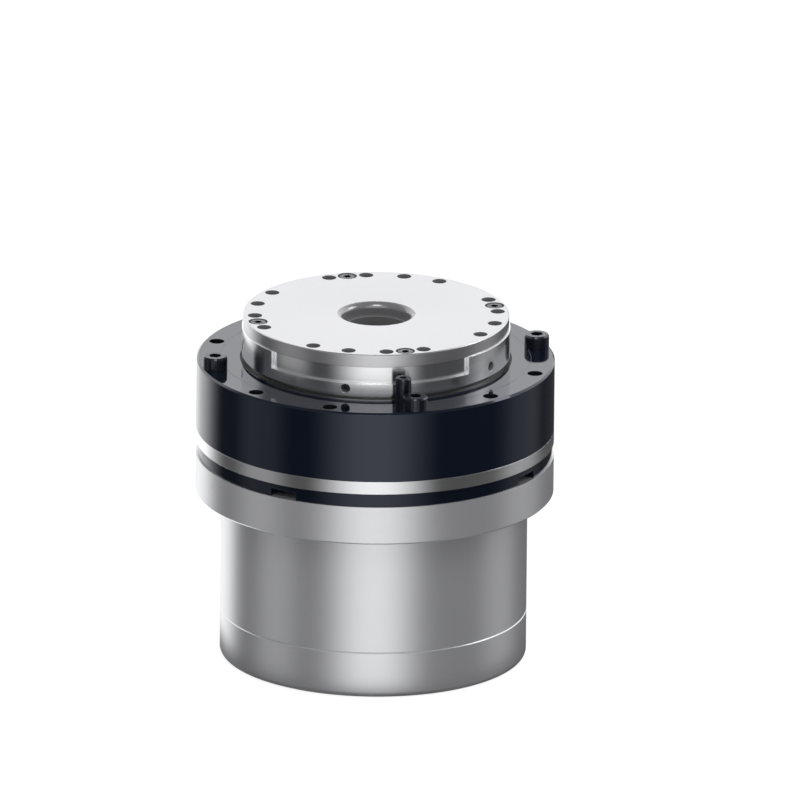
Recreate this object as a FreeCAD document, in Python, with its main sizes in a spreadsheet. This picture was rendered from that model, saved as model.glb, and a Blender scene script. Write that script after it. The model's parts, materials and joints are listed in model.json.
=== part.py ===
import FreeCAD, Part

import math
import os
import re

import Sketcher

# Hollow-shaft robot joint actuator: a frameless motor, a spring-applied brake and two encoders in a
# cylindrical housing drive a hat-type strain wave gear, whose circular spline turns the output on a
# crossed roller bearing. The axis is +Z, the base of the rear cover is z = 0 and lengths are in mm.

SIZES = {
    # the stack outside, from the base up
    "cover_height": 10.5,
    "barrel_height": 27.4,
    "flange_height": 8.8,
    "bracket_height": 3.1,
    "flex_flange_height": 2.9,
    "bearing_height": 16.15,
    "output_gap": 1.05,
    "output_height": 6.4,
    "disc_height": 2.9,
    # radial steps and edges outside
    "flange_margin": 3.0,
    "bracket_step": 0.4,
    "output_step": 2.4,
    "neck_step": 1.0,
    "disc_step": 0.3,
    "edge_chamfer": 0.4,
    "seam_chamfer": 0.2,
    "base_fillet": 1.2,
    # the bolt circle through the stack and its socket head screws
    "stack_offset": 4.8,
    "stack_hole_radius": 1.7,
    "stack_hole_count": 12,
    "stack_screw_count": 4,
    "stack_screw_radius": 1.45,
    "stack_thread_radius": 1.5,
    "stack_screw_bite": 6.0,
    "stack_head_radius": 2.75,
    "stack_head_height": 3.0,
    "stack_socket_radius": 1.45,
    "stack_socket_depth": 1.5,
    "pry_slot_width": 6.5,
    "pry_slot_height": 1.8,
    "pry_slot_depth": 3.2,
    "pry_slot_angle": 45.0,
    # the output's holes
    "output_margin": 2.8,
    "output_thread_radius": 1.6,
    "output_thread_depth": 5.6,
    "output_hole_angle": 18.0,
    "output_quarters": 4,
    "disc_screw_radius": 0.95,
    "disc_screw_length": 6.0,
    "disc_head_radius": 1.9,
    "disc_head_height": 2.0,
    "disc_socket_radius": 0.85,
    "disc_socket_depth": 1.0,
    "disc_counterbore_radius": 2.15,
    "disc_counterbore_depth": 2.1,
    "recess_depth": 0.8,
    "recess_height": 3.9,
    "recess_angle": 95.0,
    "recess_middle_angle": 252.5,
    "recess_count": 2,
    "side_hole_radius": 1.05,
    "side_hole_depth": 3.0,
    "side_hole_rise": 2.2,
    "side_hole_drop": 1.25,
    "bore_lip": 1.4,
    # the hollow shafts on the axis
    "bore_radius": 6.5,
    "tube_wall": 1.0,
    "tube_flange_radius": 12.0,
    "tube_flange_height": 2.0,
    "tube_end_height": 1.2,
    "cover_hole_clearance": 0.5,
    "shaft_clearance": 0.8,
    "shaft_wall": 1.7,
    "fit_clearance": 0.05,
    "running_clearance": 0.06,
    # rear cover, its screws and the connectors
    "cover_floor": 2.0,
    "cover_wall": 2.2,
    "spigot_height": 1.5,
    "spigot_wall": 0.45,
    "post_inset": 2.4,
    "post_radius": 2.6,
    "post_angle": 45.0,
    "post_count": 4,
    "cover_screw_radius": 1.0,
    "cover_screw_hole": 1.2,
    "cover_screw_bite": 3.5,
    "cover_head_radius": 2.0,
    "cover_head_height": 1.3,
    "cover_head_depth": 0.3,
    "connector_inset": 8.4,
    "connector_depth": 0.4,
    "power_connector_length": 10.0,
    "power_connector_width": 6.0,
    "power_connector_contacts": 2,
    "signal_connector_length": 8.0,
    "signal_connector_width": 4.4,
    "signal_connector_contacts": 3,
    "connector_clearance": 0.2,
    "contact_radius": 0.8,
    "contact_height": 1.4,
    # circuit boards and encoders
    "board_gap": 1.6,
    "board_thickness": 1.6,
    "board_clearance": 0.8,
    "board_bore_clearance": 3.0,
    "switch_length": 5.0,
    "switch_width": 4.0,
    "switch_height": 1.0,
    "capacitor_radius": 1.8,
    "capacitor_height": 2.2,
    "component_angle": 30.0,
    "standoff_inset": 3.5,
    "standoff_radius": 1.9,
    "standoff_count": 3,
    "board_screw_radius": 0.95,
    "board_screw_hole": 1.05,
    "board_screw_bite": 1.5,
    "board_head_radius": 1.7,
    "board_head_height": 1.2,
    "encoder_gap": 0.9,
    "encoder_board_thickness": 1.0,
    "encoder_board_step": 1.4,
    "encoder_bore_clearance": 1.1,
    "encoder_ring_thickness": 1.3,
    "encoder_ring_clearance": 1.2,
    # motor housing and its web
    "web_rise": 4.5,
    "web_thickness": 2.5,
    "barrel_wall": 3.0,
    "stator_ledge": 1.0,
    "bracket_spigot_wall": 1.2,
    # motor bearings
    "motor_race_section": 6.0,
    "motor_bearing_width": 7.0,
    "motor_ball_radius": 1.75,
    "motor_ball_count": 11,
    "motor_race_wall": 1.9,
    "motor_cage_wall": 1.2,
    "motor_cage_height": 4.6,
    "seat_lip_height": 1.0,
    "seat_lip_width": 2.0,
    "seat_wall": 2.8,
    "front_bearing_drop": 2.8,
    "shaft_seal_height": 2.4,
    # spring-applied brake
    "brake_body_height": 5.8,
    "brake_clearance": 0.3,
    "brake_rim": 3.0,
    "coil_height": 3.6,
    "coil_width": 4.2,
    "coil_inset": 2.4,
    "coil_wall": 0.15,
    "armature_gap": 0.25,
    "armature_height": 1.2,
    "armature_inset": 0.5,
    "brake_disc_height": 1.6,
    "brake_disc_clearance": 0.4,
    "brake_hub_wall": 2.4,
    "brake_plate_height": 1.2,
    "brake_plate_overlap": 0.8,
    "brake_screw_count": 3,
    "brake_screw_angle": 60.0,
    "brake_screw_radius": 0.95,
    "brake_screw_hole": 1.05,
    "spacer_radius": 1.9,
    "spacer_clearance": 0.2,
    "brake_head_radius": 1.9,
    "brake_head_height": 1.6,
    # motor
    "end_clearance": 0.6,
    "end_turn": 2.6,
    "air_gap": 0.5,
    "magnet_thickness": 1.6,
    "magnet_count": 20,
    "magnet_gap_angle": 2.0,
    "yoke_thickness": 1.5,
    "yoke_hub_thickness": 2.0,
    "yoke_web_height": 2.5,
    "yoke_hole_radius": 1.1,
    "yoke_hole_count": 8,
    "rotor_overhang": 0.3,
    "rotor_clearance": 0.8,
    "stator_tooth_count": 18,
    "stator_tooth_width": 3.2,
    "stator_tooth_sink": 0.8,
    "stator_shoe_width": 6.0,
    "stator_shoe_height": 1.2,
    "stator_back": 2.8,
    "coil_length": 6.1,
    "coil_thickness": 1.7,
    "coil_clearance": 0.1,
    # strain wave gear
    "addendum_ratio": 0.42,
    "dedendum_ratio": 0.6,
    "tip_ratio": 0.42,
    "flex_clearance": 1.792,
    "flex_teeth": 100,
    "ring_teeth": 102,
    "tooth_length": 7.5,
    "flex_wall": 0.65,
    "flex_thin_wall": 0.4,
    "tooth_sink": 0.16,
    "diaphragm_thickness": 0.5,
    "diaphragm_rise": 1.6,
    "diaphragm_inset": 3.4,
    "flex_fillet": 0.7,
    "flex_end_gap": 0.9,
    "ring_wall": 5.412,
    "ring_screw_inset": 2.7,
    "ring_screw_count": 8,
    "ring_screw_radius": 1.2,
    "ring_screw_hole": 1.3,
    "ring_screw_bite": 3.2,
    "ring_screw_run": 0.4,
    "ring_head_radius": 2.1,
    "ring_head_height": 2.0,
    "ring_overlap": 0.4,
    # wave generator
    "wave_race_height": 5.4,
    "wave_race_drop": 0.9,
    "wave_race_wall": 1.2,
    "wave_groove_depth": 0.4,
    "wave_ball_radius": 1.5,
    "wave_ball_count": 21,
    "wave_cage_wall": 0.9,
    "wave_cage_height": 4.4,
    "wave_inner_wall": 1.3,
    "plug_hub_wall": 3.0,
    "plug_hub_gap": 2.0,
    "cage_clearance": 0.12,
    "retainer_wall": 2.6,
    "retainer_height": 0.7,
    "retainer_notch": 1.0,
    "retainer_notch_count": 4,
    "shaft_end_gap": 0.7,
    # crossed roller bearing and its seal
    "roof_drop": 1.5,
    "inner_wall_gap": 0.1,
    "roller_offset": 4.6,
    "roller_rise": 8.0,
    "roller_radius": 1.75,
    "roller_length": 3.4,
    "roller_pairs": 18,
    "roller_spacer_height": 1.2,
    "roller_spacer_radius": 1.5,
    "race_gap": 0.4,
    "inner_ring_rise": 3.2,
    "inner_ring_top": 12.3,
    "seal_ring_inset": 2.4,
    "seal_ring_gap": 0.35,
    "seal_ring_height": 3.4,
    "seal_ring_lip": 0.5,
    "seal_width": 1.9,
    "seal_height": 2.2,
    "plug_offset": 1.4,
    "plug_angle": 267.0,
    "plug_radius": 1.8,
    "plug_height": 5.85,
    "plug_stem_radius": 1.0,
    "plug_socket_radius": 0.85,
    "plug_socket_depth": 2.0,
}

# Heights and radii that follow from the sizes, each an expression in sizes and in earlier levels.
LEVELS = {
    # the stack's seams
    "flange_bottom": "cover_height + barrel_height",
    "flange_top": "flange_bottom + flange_height",
    "bracket_top": "flange_top + bracket_height",
    "bearing_bottom": "bracket_top + flex_flange_height",
    "bearing_top": "bearing_bottom + bearing_height",
    "output_bottom": "bearing_top + output_gap",
    "output_top": "output_bottom + output_height",
    "disc_top": "output_top + disc_height",
    # radii from the axis out to the barrel, round the brake
    "tube_radius": "bore_radius + tube_wall",
    "shaft_bore": "tube_radius + shaft_clearance",
    "shaft_radius": "shaft_bore + shaft_wall",
    "seat_radius": "shaft_radius + motor_race_section",
    "seat_bore": "seat_radius - seat_lip_width",
    "boss_radius": "seat_radius + seat_wall",
    "coil_bore": "boss_radius + brake_clearance + coil_inset",
    "coil_radius": "coil_bore + coil_width",
    "brake_screw_circle": "coil_radius + coil_wall + brake_screw_hole",
    "brake_radius": "brake_screw_circle + brake_rim",
    "brake_disc_radius": "brake_screw_circle - spacer_radius - brake_disc_clearance",
    "brake_hub_flat": "shaft_radius + brake_hub_wall",
    "barrel_bore": "brake_radius + brake_clearance + stator_ledge",
    "barrel_radius": "barrel_bore + barrel_wall",
    "post_circle": "barrel_bore - post_inset",
    "board_radius": "post_circle - post_radius - board_clearance",
    "connector_circle": "board_radius - connector_inset",
    "encoder_board_radius": "board_radius - encoder_board_step",
    "standoff_circle": "encoder_board_radius - standoff_inset",
    "encoder_ring_radius": "standoff_circle - standoff_radius - encoder_ring_clearance",
    # radii from the gear's teeth out to the flange
    "flex_bore": "boss_radius + flex_clearance",
    "flex_root": "flex_bore + flex_wall",
    "tooth_module": "flex_root / (flex_teeth / 2 - dedendum_ratio)",
    "addendum": "addendum_ratio * tooth_module",
    "dedendum": "dedendum_ratio * tooth_module",
    "tooth_tip": "tip_ratio * tooth_module",
    "flex_tip": "flex_teeth * tooth_module / 2 + addendum",
    "ring_tip": "ring_teeth * tooth_module / 2 - addendum",
    "ring_root": "ring_teeth * tooth_module / 2 + dedendum",
    "ring_radius": "ring_root + ring_wall",
    "ring_screw_circle": "ring_radius - ring_screw_inset",
    "roller_circle": "ring_radius + roller_offset",
    "output_radius": "ring_radius + output_step",
    "disc_radius": "output_radius - disc_step",
    "neck_radius": "output_radius - neck_step",
    "output_circle": "output_radius - output_margin",
    "seal_radius": "neck_radius + seal_width",
    "seal_ring_bore": "output_radius + seal_ring_gap",
    "plug_circle": "seal_radius + plug_offset",
    "stack_circle": "roller_circle + stack_offset",
    "seal_ring_radius": "stack_circle - seal_ring_inset",
    "diaphragm_radius": "stack_circle - diaphragm_inset",
    "flange_radius": "stack_circle + flange_margin",
    "bracket_radius": "flange_radius - bracket_step",
    # rear end, from the cover's floor up
    "board_bottom": "cover_floor + board_gap",
    "board_top": "board_bottom + board_thickness",
    "web_bottom": "cover_height + web_rise",
    "web_top": "web_bottom + web_thickness",
    "shaft_bottom": "web_bottom - encoder_gap - 2 * encoder_ring_thickness",
    "rotor_encoder_top": "shaft_bottom + encoder_ring_thickness",
    "encoder_board_top": "shaft_bottom - encoder_gap",
    "encoder_board_bottom": "encoder_board_top - encoder_board_thickness",
    "output_encoder_top": "encoder_board_bottom - encoder_gap",
    # brake, stacked on the web
    "rear_bearing_bottom": "web_bottom + seat_lip_height",
    "rear_bearing_top": "rear_bearing_bottom + motor_bearing_width",
    "brake_top": "web_top + brake_body_height",
    "armature_bottom": "brake_top + armature_gap",
    "armature_top": "armature_bottom + armature_height",
    "brake_disc_bottom": "armature_top + fit_clearance",
    "brake_disc_top": "brake_disc_bottom + brake_disc_height",
    "brake_plate_bottom": "brake_disc_top + fit_clearance",
    "brake_plate_top": "brake_plate_bottom + brake_plate_height",
    # motor, between the brake and the front bearing's boss
    "front_bearing_bottom": "flange_top - front_bearing_drop",
    "front_bearing_top": "front_bearing_bottom + motor_bearing_width",
    "boss_bottom": "front_bearing_bottom - seat_lip_height",
    "boss_top": "front_bearing_top + shaft_seal_height",
    "rotor_top": "boss_bottom - rotor_clearance",
    "stator_top": "rotor_top - rotor_overhang",
    "stator_bottom": "brake_plate_top + end_clearance + end_turn",
    "rotor_bottom": "stator_bottom - rotor_overhang",
    "winding_bottom": "stator_bottom - end_turn",
    "winding_top": "stator_top + end_turn",
    "web_middle": "(rotor_bottom + rotor_top) / 2",
    "stator_root": "barrel_bore - stator_back",
    "stator_neck": "stator_root - coil_length",
    "stator_bore": "stator_neck - stator_shoe_height",
    "magnet_radius": "stator_bore - air_gap",
    "magnet_bore": "magnet_radius - magnet_thickness",
    "yoke_bore": "magnet_bore - yoke_thickness",
    "hub_radius": "shaft_radius + yoke_hub_thickness",
    # strain wave gear, hung from the output's roof
    "roof": "output_bottom - roof_drop",
    "flex_top": "roof - flex_end_gap",
    "tooth_bottom": "flex_top - tooth_length",
    "ring_bottom": "tooth_bottom - ring_overlap",
    "diaphragm_bottom": "bracket_top + diaphragm_rise",
    "diaphragm_top": "diaphragm_bottom + diaphragm_thickness",
    # wave generator
    "wave_race_top": "flex_top - wave_race_drop",
    "wave_race_bottom": "wave_race_top - wave_race_height",
    "wave_middle": "(wave_race_top + wave_race_bottom) / 2",
    "wave_outer": "flex_bore - fit_clearance",
    "wave_outer_bore": "wave_outer - wave_race_wall",
    "wave_groove": "wave_outer_bore + wave_groove_depth",
    "wave_ball_circle": "wave_groove - running_clearance - wave_ball_radius",
    "wave_major": "wave_ball_circle - wave_ball_radius - running_clearance",
    "wave_minor": "wave_major - 2 * tooth_module",
    "plug_major": "wave_major - wave_inner_wall",
    "plug_minor": "wave_minor - wave_inner_wall",
    "retainer_radius": "shaft_radius + retainer_wall",
    "retainer_top": "wave_race_top + retainer_height",
    "shaft_top": "roof - shaft_end_gap",
    # crossed roller bearing
    "roller_middle": "bearing_bottom + roller_rise",
    "groove_half": "(roller_radius + running_clearance) * sqrt(2)",
    "inner_ring_radius": "roller_circle - race_gap / 2",
    "outer_ring_bore": "roller_circle + race_gap / 2",
    "groove_mouth": "groove_half - race_gap / 2",
    "inner_ring_bottom": "bearing_bottom + inner_ring_rise",
    "inner_ring_shoulder": "bearing_bottom + inner_ring_top",
    "ring_seat": "ring_radius + inner_wall_gap",
    "seal_ring_bottom": "bearing_top - seal_ring_height",
    "seal_top": "bearing_top - seal_ring_lip",
    "side_hole_high": "output_bottom + side_hole_rise",
    "side_hole_low": "output_bottom + side_hole_drop",
}

# Each connector, and the sign of its side of the axis on Y.
CONNECTORS = (("power_connector", "-"), ("signal_connector", ""))

# The places of the tapped holes in each quarter of the output circle, in steps of the hole angle.
OUTPUT_HOLES = (0.5, 2.5, 3.5, 4.5)

# The angle and the level of each blind hole in the output ring's side.
SIDE_HOLES = [
    (27, "side_hole_low"),
    (99, "side_hole_low"),
    (171, "side_hole_high"),
    (243, "side_hole_low"),
    (315, "side_hole_high"),
]

WORD = re.compile(r"[a-z][a-z_]*")
SAME = 1e-4

doc = FreeCAD.newDocument("JointActuator")
pieces = []
cuts = []


def fill_sheet():
    """Write the driving sizes to the spreadsheet, one row for each."""
    sheet = doc.addObject("Spreadsheet::Sheet", "Sizes")
    for row, (name, value) in enumerate(SIZES.items(), start=1):
        sheet.set(f"A{row}", name)
        sheet.set(f"B{row}", str(value))
        sheet.setAlias(f"B{row}", name)
    doc.recompute()
    return sheet


def bound(text):
    """Write an expression of sizes and levels out in cells of the sheet."""

    def cell(match):
        word = match[0]
        if word in LEVELS:
            return f"({bound(LEVELS[word])})"
        return f"Sizes.{word}" if word in SIZES else word

    return WORD.sub(cell, text)


def value(text):
    """The present value of an expression."""
    return float(sheet.evalExpression(bound(text)))


def polar(radius, angle):
    """Expressions for the two coordinates of a point at a radius and an angle in degrees."""
    return f"({radius}) * cos({angle})", f"({radius}) * sin({angle})"


class Piece:
    """One sub-part: a body named after its node, with its features added in order."""

    def __init__(self, name, turned=None):
        self.body = doc.addObject("PartDesign::Body", name)
        self.body.Label = name
        if turned:
            self.body.setExpression("Placement.Rotation.Angle", bound(turned))
        pieces.append(self.body)

    def plane(self, role):
        """One of the body's origin planes or axes."""
        return next(f for f in self.body.Origin.OriginFeatures if f.Role == role)

    def add(self, kind, name):
        """Add a solid feature and make it the body's tip."""
        base = self.body.Tip
        feature = self.body.newObject(f"PartDesign::{kind}", name)
        if kind.startswith("Subtractive") or kind in ("Pocket", "Groove"):
            cuts.append((base, feature))
        self.body.Tip = feature
        return feature

    def sketch(self, role, level="0", angle=0):
        """A sketch on an origin plane, raised to a level or swung about the axis."""
        sketch = self.body.newObject("Sketcher::SketchObject", "outline")
        sketch.AttachmentSupport = (self.plane(role), [""])
        sketch.MapMode = "FlatFace"
        if angle:
            swing = FreeCAD.Rotation(FreeCAD.Vector(0, 1, 0), angle)
            sketch.AttachmentOffset = FreeCAD.Placement(FreeCAD.Vector(), swing)
        sketch.setExpression("AttachmentOffset.Base.z", bound(level))
        return sketch

    def turn(self, points, axis=None, cut=False, angle="360", start=0):
        """Revolve a closed outline of (radius, height) points about the Z axis or a line of its own."""
        sketch = self.sketch("XZ_Plane", angle=start)
        draw_outline(sketch, points)
        line = "V_Axis"
        if axis:
            draw_line(sketch, *axis)
            line = "Axis0"
        feature = self.add("Groove" if cut else "Revolution", "turned")
        feature.Profile = sketch
        feature.ReferenceAxis = (sketch, [line])
        feature.Midplane = True
        feature.setExpression("Angle", bound(angle))
        return feature

    def ring(self, inner, outer, bottom, top):
        """Turn a plain ring."""
        return self.turn([(inner, bottom), (outer, bottom), (outer, top), (inner, top)])

    def pad(self, points, bottom, top):
        """Pad a closed outline of (x, y) points from one level to another."""
        sketch = self.sketch("XY_Plane", bottom)
        draw_outline(sketch, points)
        feature = self.add("Pad", "padded")
        feature.Profile = sketch
        feature.setExpression("Length", bound(f"{top} - ({bottom})"))
        return feature

    def boss(self, centre, radius, bottom, top):
        """Pad a round boss from one level to another."""
        sketch = self.sketch("XY_Plane", bottom)
        draw_circle(sketch, centre, radius)
        feature = self.add("Pad", "boss")
        feature.Profile = sketch
        feature.setExpression("Length", bound(f"{top} - ({bottom})"))
        return feature

    def pocket(self, points, top, depth):
        """Cut a closed outline of (x, y) points down from a level."""
        sketch = self.sketch("XY_Plane", top)
        draw_outline(sketch, points)
        return self.sink(sketch, depth)

    def drill(self, centre, radius, top, depth):
        """Cut a round hole down from a level."""
        sketch = self.sketch("XY_Plane", top)
        draw_circle(sketch, centre, radius)
        return self.sink(sketch, depth)

    def ellipse(self, major, minor, bottom, top, cut=False):
        """Pad or cut an elliptical outline between two levels."""
        sketch = self.sketch("XY_Plane", top if cut else bottom)
        draw_ellipse(sketch, major, minor)
        if cut:
            return self.sink(sketch, f"{top} - ({bottom})")
        feature = self.add("Pad", "padded")
        feature.Profile = sketch
        feature.setExpression("Length", bound(f"{top} - ({bottom})"))
        return feature

    def sink(self, sketch, depth):
        """Cut a sketch's outline to a depth."""
        feature = self.add("Pocket", "cut")
        feature.Profile = sketch
        feature.setExpression("Length", bound(depth))
        return feature

    def place(self, kind, sizes, base, axis=None, angle="0"):
        """Add a primitive with its sizes, its base point and its turn about an axis bound to the sheet."""
        feature = self.add(kind, "primitive")
        for name, text in sizes.items():
            feature.setExpression(name, bound(text))
        if axis:
            feature.Placement = FreeCAD.Placement(FreeCAD.Vector(), FreeCAD.Rotation(axis, value(angle)))
        for name, text in zip("xyz", base):
            feature.setExpression(f"Placement.Base.{name}", bound(text))
        return feature

    def repeat(self, features, count):
        """Repeat features evenly about the Z axis."""
        feature = self.add("PolarPattern", "pattern")
        feature.Originals = features
        feature.Axis = (self.plane("Z_Axis"), [""])
        feature.Angle = 360
        feature.setExpression("Occurrences", bound(count))
        return feature

    def dress(self, kind, places, size):
        """Fillet or chamfer the round edges at the given (radius, height) places."""
        doc.recompute()
        base = self.body.Tip
        feature = self.add(kind, "edges")
        feature.Base = (base, round_edges(base.Shape, places))
        feature.setExpression("Radius" if kind == "Fillet" else "Size", bound(size))
        return feature


def draw_outline(sketch, points):
    """Draw a closed outline whose corners are bound to expressions."""
    corners = [FreeCAD.Vector(value(x), value(y), 0) for x, y in points]
    count = len(corners)
    for i, corner in enumerate(corners):
        sketch.addGeometry(Part.LineSegment(corner, corners[(i + 1) % count]), False)
    for i in range(count):
        sketch.addConstraint(Sketcher.Constraint("Coincident", i, 2, (i + 1) % count, 1))
    for i, (x, y) in enumerate(points):
        fix_point(sketch, i, 1, x, y)


def draw_line(sketch, start, end):
    """Draw a construction line between two points."""
    ends = [FreeCAD.Vector(value(x), value(y), 0) for x, y in (start, end)]
    line = sketch.addGeometry(Part.LineSegment(*ends), True)
    fix_point(sketch, line, 1, *start)
    fix_point(sketch, line, 2, *end)


def draw_circle(sketch, centre, radius):
    """Draw a circle whose centre and radius are bound to expressions."""
    middle = FreeCAD.Vector(value(centre[0]), value(centre[1]), 0)
    circle = sketch.addGeometry(Part.Circle(middle, FreeCAD.Vector(0, 0, 1), value(radius)), False)
    fix_point(sketch, circle, 3, *centre)
    number = sketch.addConstraint(Sketcher.Constraint("Radius", circle, value(radius)))
    bind(sketch, number, f"radius{circle}", radius)


def draw_ellipse(sketch, major, minor):
    """Draw an ellipse about the origin, its long axis along X."""
    ends = FreeCAD.Vector(value(major), 0, 0), FreeCAD.Vector(0, value(minor), 0)
    ellipse = sketch.addGeometry(Part.Ellipse(*ends, FreeCAD.Vector()), False)
    sketch.exposeInternalGeometry(ellipse)
    sketch.addConstraint(Sketcher.Constraint("Coincident", ellipse, 3, -1, 1))
    fix_point(sketch, ellipse + 1, 1, major, "0")
    number = sketch.addConstraint(Sketcher.Constraint("DistanceY", -1, 1, ellipse + 2, 1, value(minor)))
    bind(sketch, number, f"minor{ellipse}", minor)


def fix_point(sketch, geometry, point, x, y):
    """Hold a point of the sketch at two bound distances from its origin."""
    for kind, text in (("DistanceX", x), ("DistanceY", y)):
        number = sketch.addConstraint(Sketcher.Constraint(kind, -1, 1, geometry, point, value(text)))
        bind(sketch, number, f"{kind}{geometry}_{point}", text)


def bind(sketch, number, name, text):
    """Name a constraint and tie it to an expression."""
    sketch.renameConstraint(number, name)
    sketch.setExpression(f"Constraints.{name}", bound(text))


def round_edges(shape, places):
    """The names of the circular edges about the axis at each (radius, height)."""
    wanted = [(value(radius), value(height)) for radius, height in places]
    names = []
    for number, edge in enumerate(shape.Edges, start=1):
        curve = edge.Curve
        if not isinstance(curve, Part.Circle) or math.hypot(curve.Center.x, curve.Center.y) > SAME:
            continue
        for radius, height in wanted:
            if math.hypot(curve.Radius - radius, curve.Center.z - height) < SAME:
                names.append(f"Edge{number}")
    return names


def hexagon(circle, corner):
    """A hexagon's corners about a point on the X axis."""
    turns = [polar(corner, str(60 * i)) for i in range(6)]
    return [(f"{circle} + {x}", y) for x, y in turns]


def box_outline(left, right, half, turned="0"):
    """A rectangle's corners, from left to right and to both sides of a ray at an angle to the X axis."""
    corners = [(left, f"-({half})"), (right, f"-({half})"), (right, half), (left, half)]
    if turned == "0":
        return corners
    cosine, sine = f"cos({turned})", f"sin({turned})"
    return [(f"({x}) * {cosine} - ({y}) * {sine}", f"({x}) * {sine} + ({y}) * {cosine}") for x, y in corners]


def screws(name, circle, shank, head, levels, count, start="0", socket=None, depth="0"):
    """Cap screws on a circle, turned through the levels of the shank's end, the neck and the head's face."""
    end, neck, face = levels
    piece = Piece(name, turned=start)
    outline = [(circle, end), (f"{circle} + {shank}", end), (f"{circle} + {shank}", neck)]
    outline += [(f"{circle} + {head}", neck), (f"{circle} + {head}", face), (circle, face)]
    features = [piece.turn(outline, axis=((circle, end), (circle, face)))]
    if socket:
        features.append(piece.pocket(hexagon(circle, socket), face, depth))
    piece.repeat(features, count)
    return piece


def make_rear_cover():
    """Cup with a central cable hole, screw posts and two connector windows in its floor."""
    cover = Piece("rear_cover")
    hole = "tube_radius + cover_hole_clearance"
    inside = "barrel_radius - cover_wall"
    cover.turn([
        (hole, "0"),
        ("barrel_radius", "0"),
        ("barrel_radius", "cover_height - seam_chamfer"),
        ("barrel_radius - seam_chamfer", "cover_height"),
        (inside, "cover_height"),
        (inside, "cover_floor"),
        (hole, "cover_floor"),
    ])
    corner = polar("post_circle", "post_angle")
    post = cover.boss(corner, "post_radius", "cover_floor", "cover_height")
    cover.repeat([post], "post_count")
    sunk = "cover_head_height + cover_head_depth"
    drilled = cover.drill(corner, "cover_screw_hole", "cover_height", "cover_height")
    bored = cover.drill(corner, "cover_head_radius + fit_clearance", sunk, sunk)
    cover.repeat([drilled, bored], "post_count")
    for name, side in CONNECTORS:
        outline = connector_outline(name, side, "connector_clearance")
        cover.pocket(outline, "cover_floor", "cover_floor")
    cover.dress("Fillet", [("barrel_radius", "0")], "base_fillet")
    screws("cover_screws", "post_circle", "cover_screw_radius", "cover_head_radius",
           ("cover_height + cover_screw_bite", sunk, "cover_head_depth"), "post_count",
           start="post_angle")


def connector_outline(name, side, gap):
    """A connector's corners on the Y axis, at one side of the axis and grown by a gap."""
    half, reach = f"({name}_length / 2 + {gap})", f"({name}_width / 2 + {gap})"
    near, far = f"{side}(connector_circle - {reach})", f"{side}(connector_circle + {reach})"
    return [(f"-{half}", near), (half, near), (half, far), (f"-{half}", far)]


def make_electronics():
    """Driver board on standoffs with its parts and connectors, and the encoder board above it."""
    for name, side in CONNECTORS:
        plug = Piece(name)
        contacts = SIZES[f"{name}_contacts"]
        plug.pad(connector_outline(name, side, "0"), "connector_depth", "board_bottom")
        for i in range(contacts):
            across = f"{name}_length * {(i + 0.5) / contacts - 0.5}"
            plug.drill((across, f"{side}connector_circle"), "contact_radius",
                       "connector_depth + contact_height", "contact_height")
    board = Piece("driver_board")
    board.ring("tube_radius + board_bore_clearance", "board_radius", "board_bottom", "board_top")
    hole = board.drill(("standoff_circle", "0"), "board_screw_hole", "board_top", "board_thickness")
    board.repeat([hole], "standoff_count")
    parts = Piece("board_components", turned="component_angle")
    near, far = "connector_circle - switch_length / 2", "connector_circle + switch_length / 2"
    switch = parts.pad(box_outline(near, far, "switch_width / 2"), "board_top", "board_top + switch_height")
    parts.repeat([switch], "2 * standoff_count")
    capacitor = parts.boss(polar("standoff_circle", "component_angle"), "capacitor_radius", "board_top",
                           "board_top + capacitor_height")
    parts.repeat([capacitor], "standoff_count")
    encoder = Piece("encoder_board")
    encoder.ring("tube_radius + encoder_bore_clearance", "encoder_board_radius", "encoder_board_bottom",
                 "encoder_board_top")
    hole = encoder.drill(("standoff_circle", "0"), "board_screw_hole", "encoder_board_top",
                         "encoder_board_thickness")
    encoder.repeat([hole], "standoff_count")
    posts = Piece("board_standoffs")
    tall = posts.boss(("standoff_circle", "0"), "standoff_radius", "board_top", "encoder_board_bottom")
    short = posts.boss(("standoff_circle", "0"), "standoff_radius", "encoder_board_top", "web_bottom")
    posts.repeat([tall, short], "standoff_count")
    hole = posts.drill(("standoff_circle", "0"), "board_screw_hole", "web_bottom", "web_bottom - board_top")
    posts.repeat([hole], "standoff_count")
    screws("board_screws", "standoff_circle", "board_screw_radius", "board_head_radius",
           ("web_bottom + board_screw_bite", "board_bottom", "board_bottom - board_head_height"),
           "standoff_count")


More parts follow.
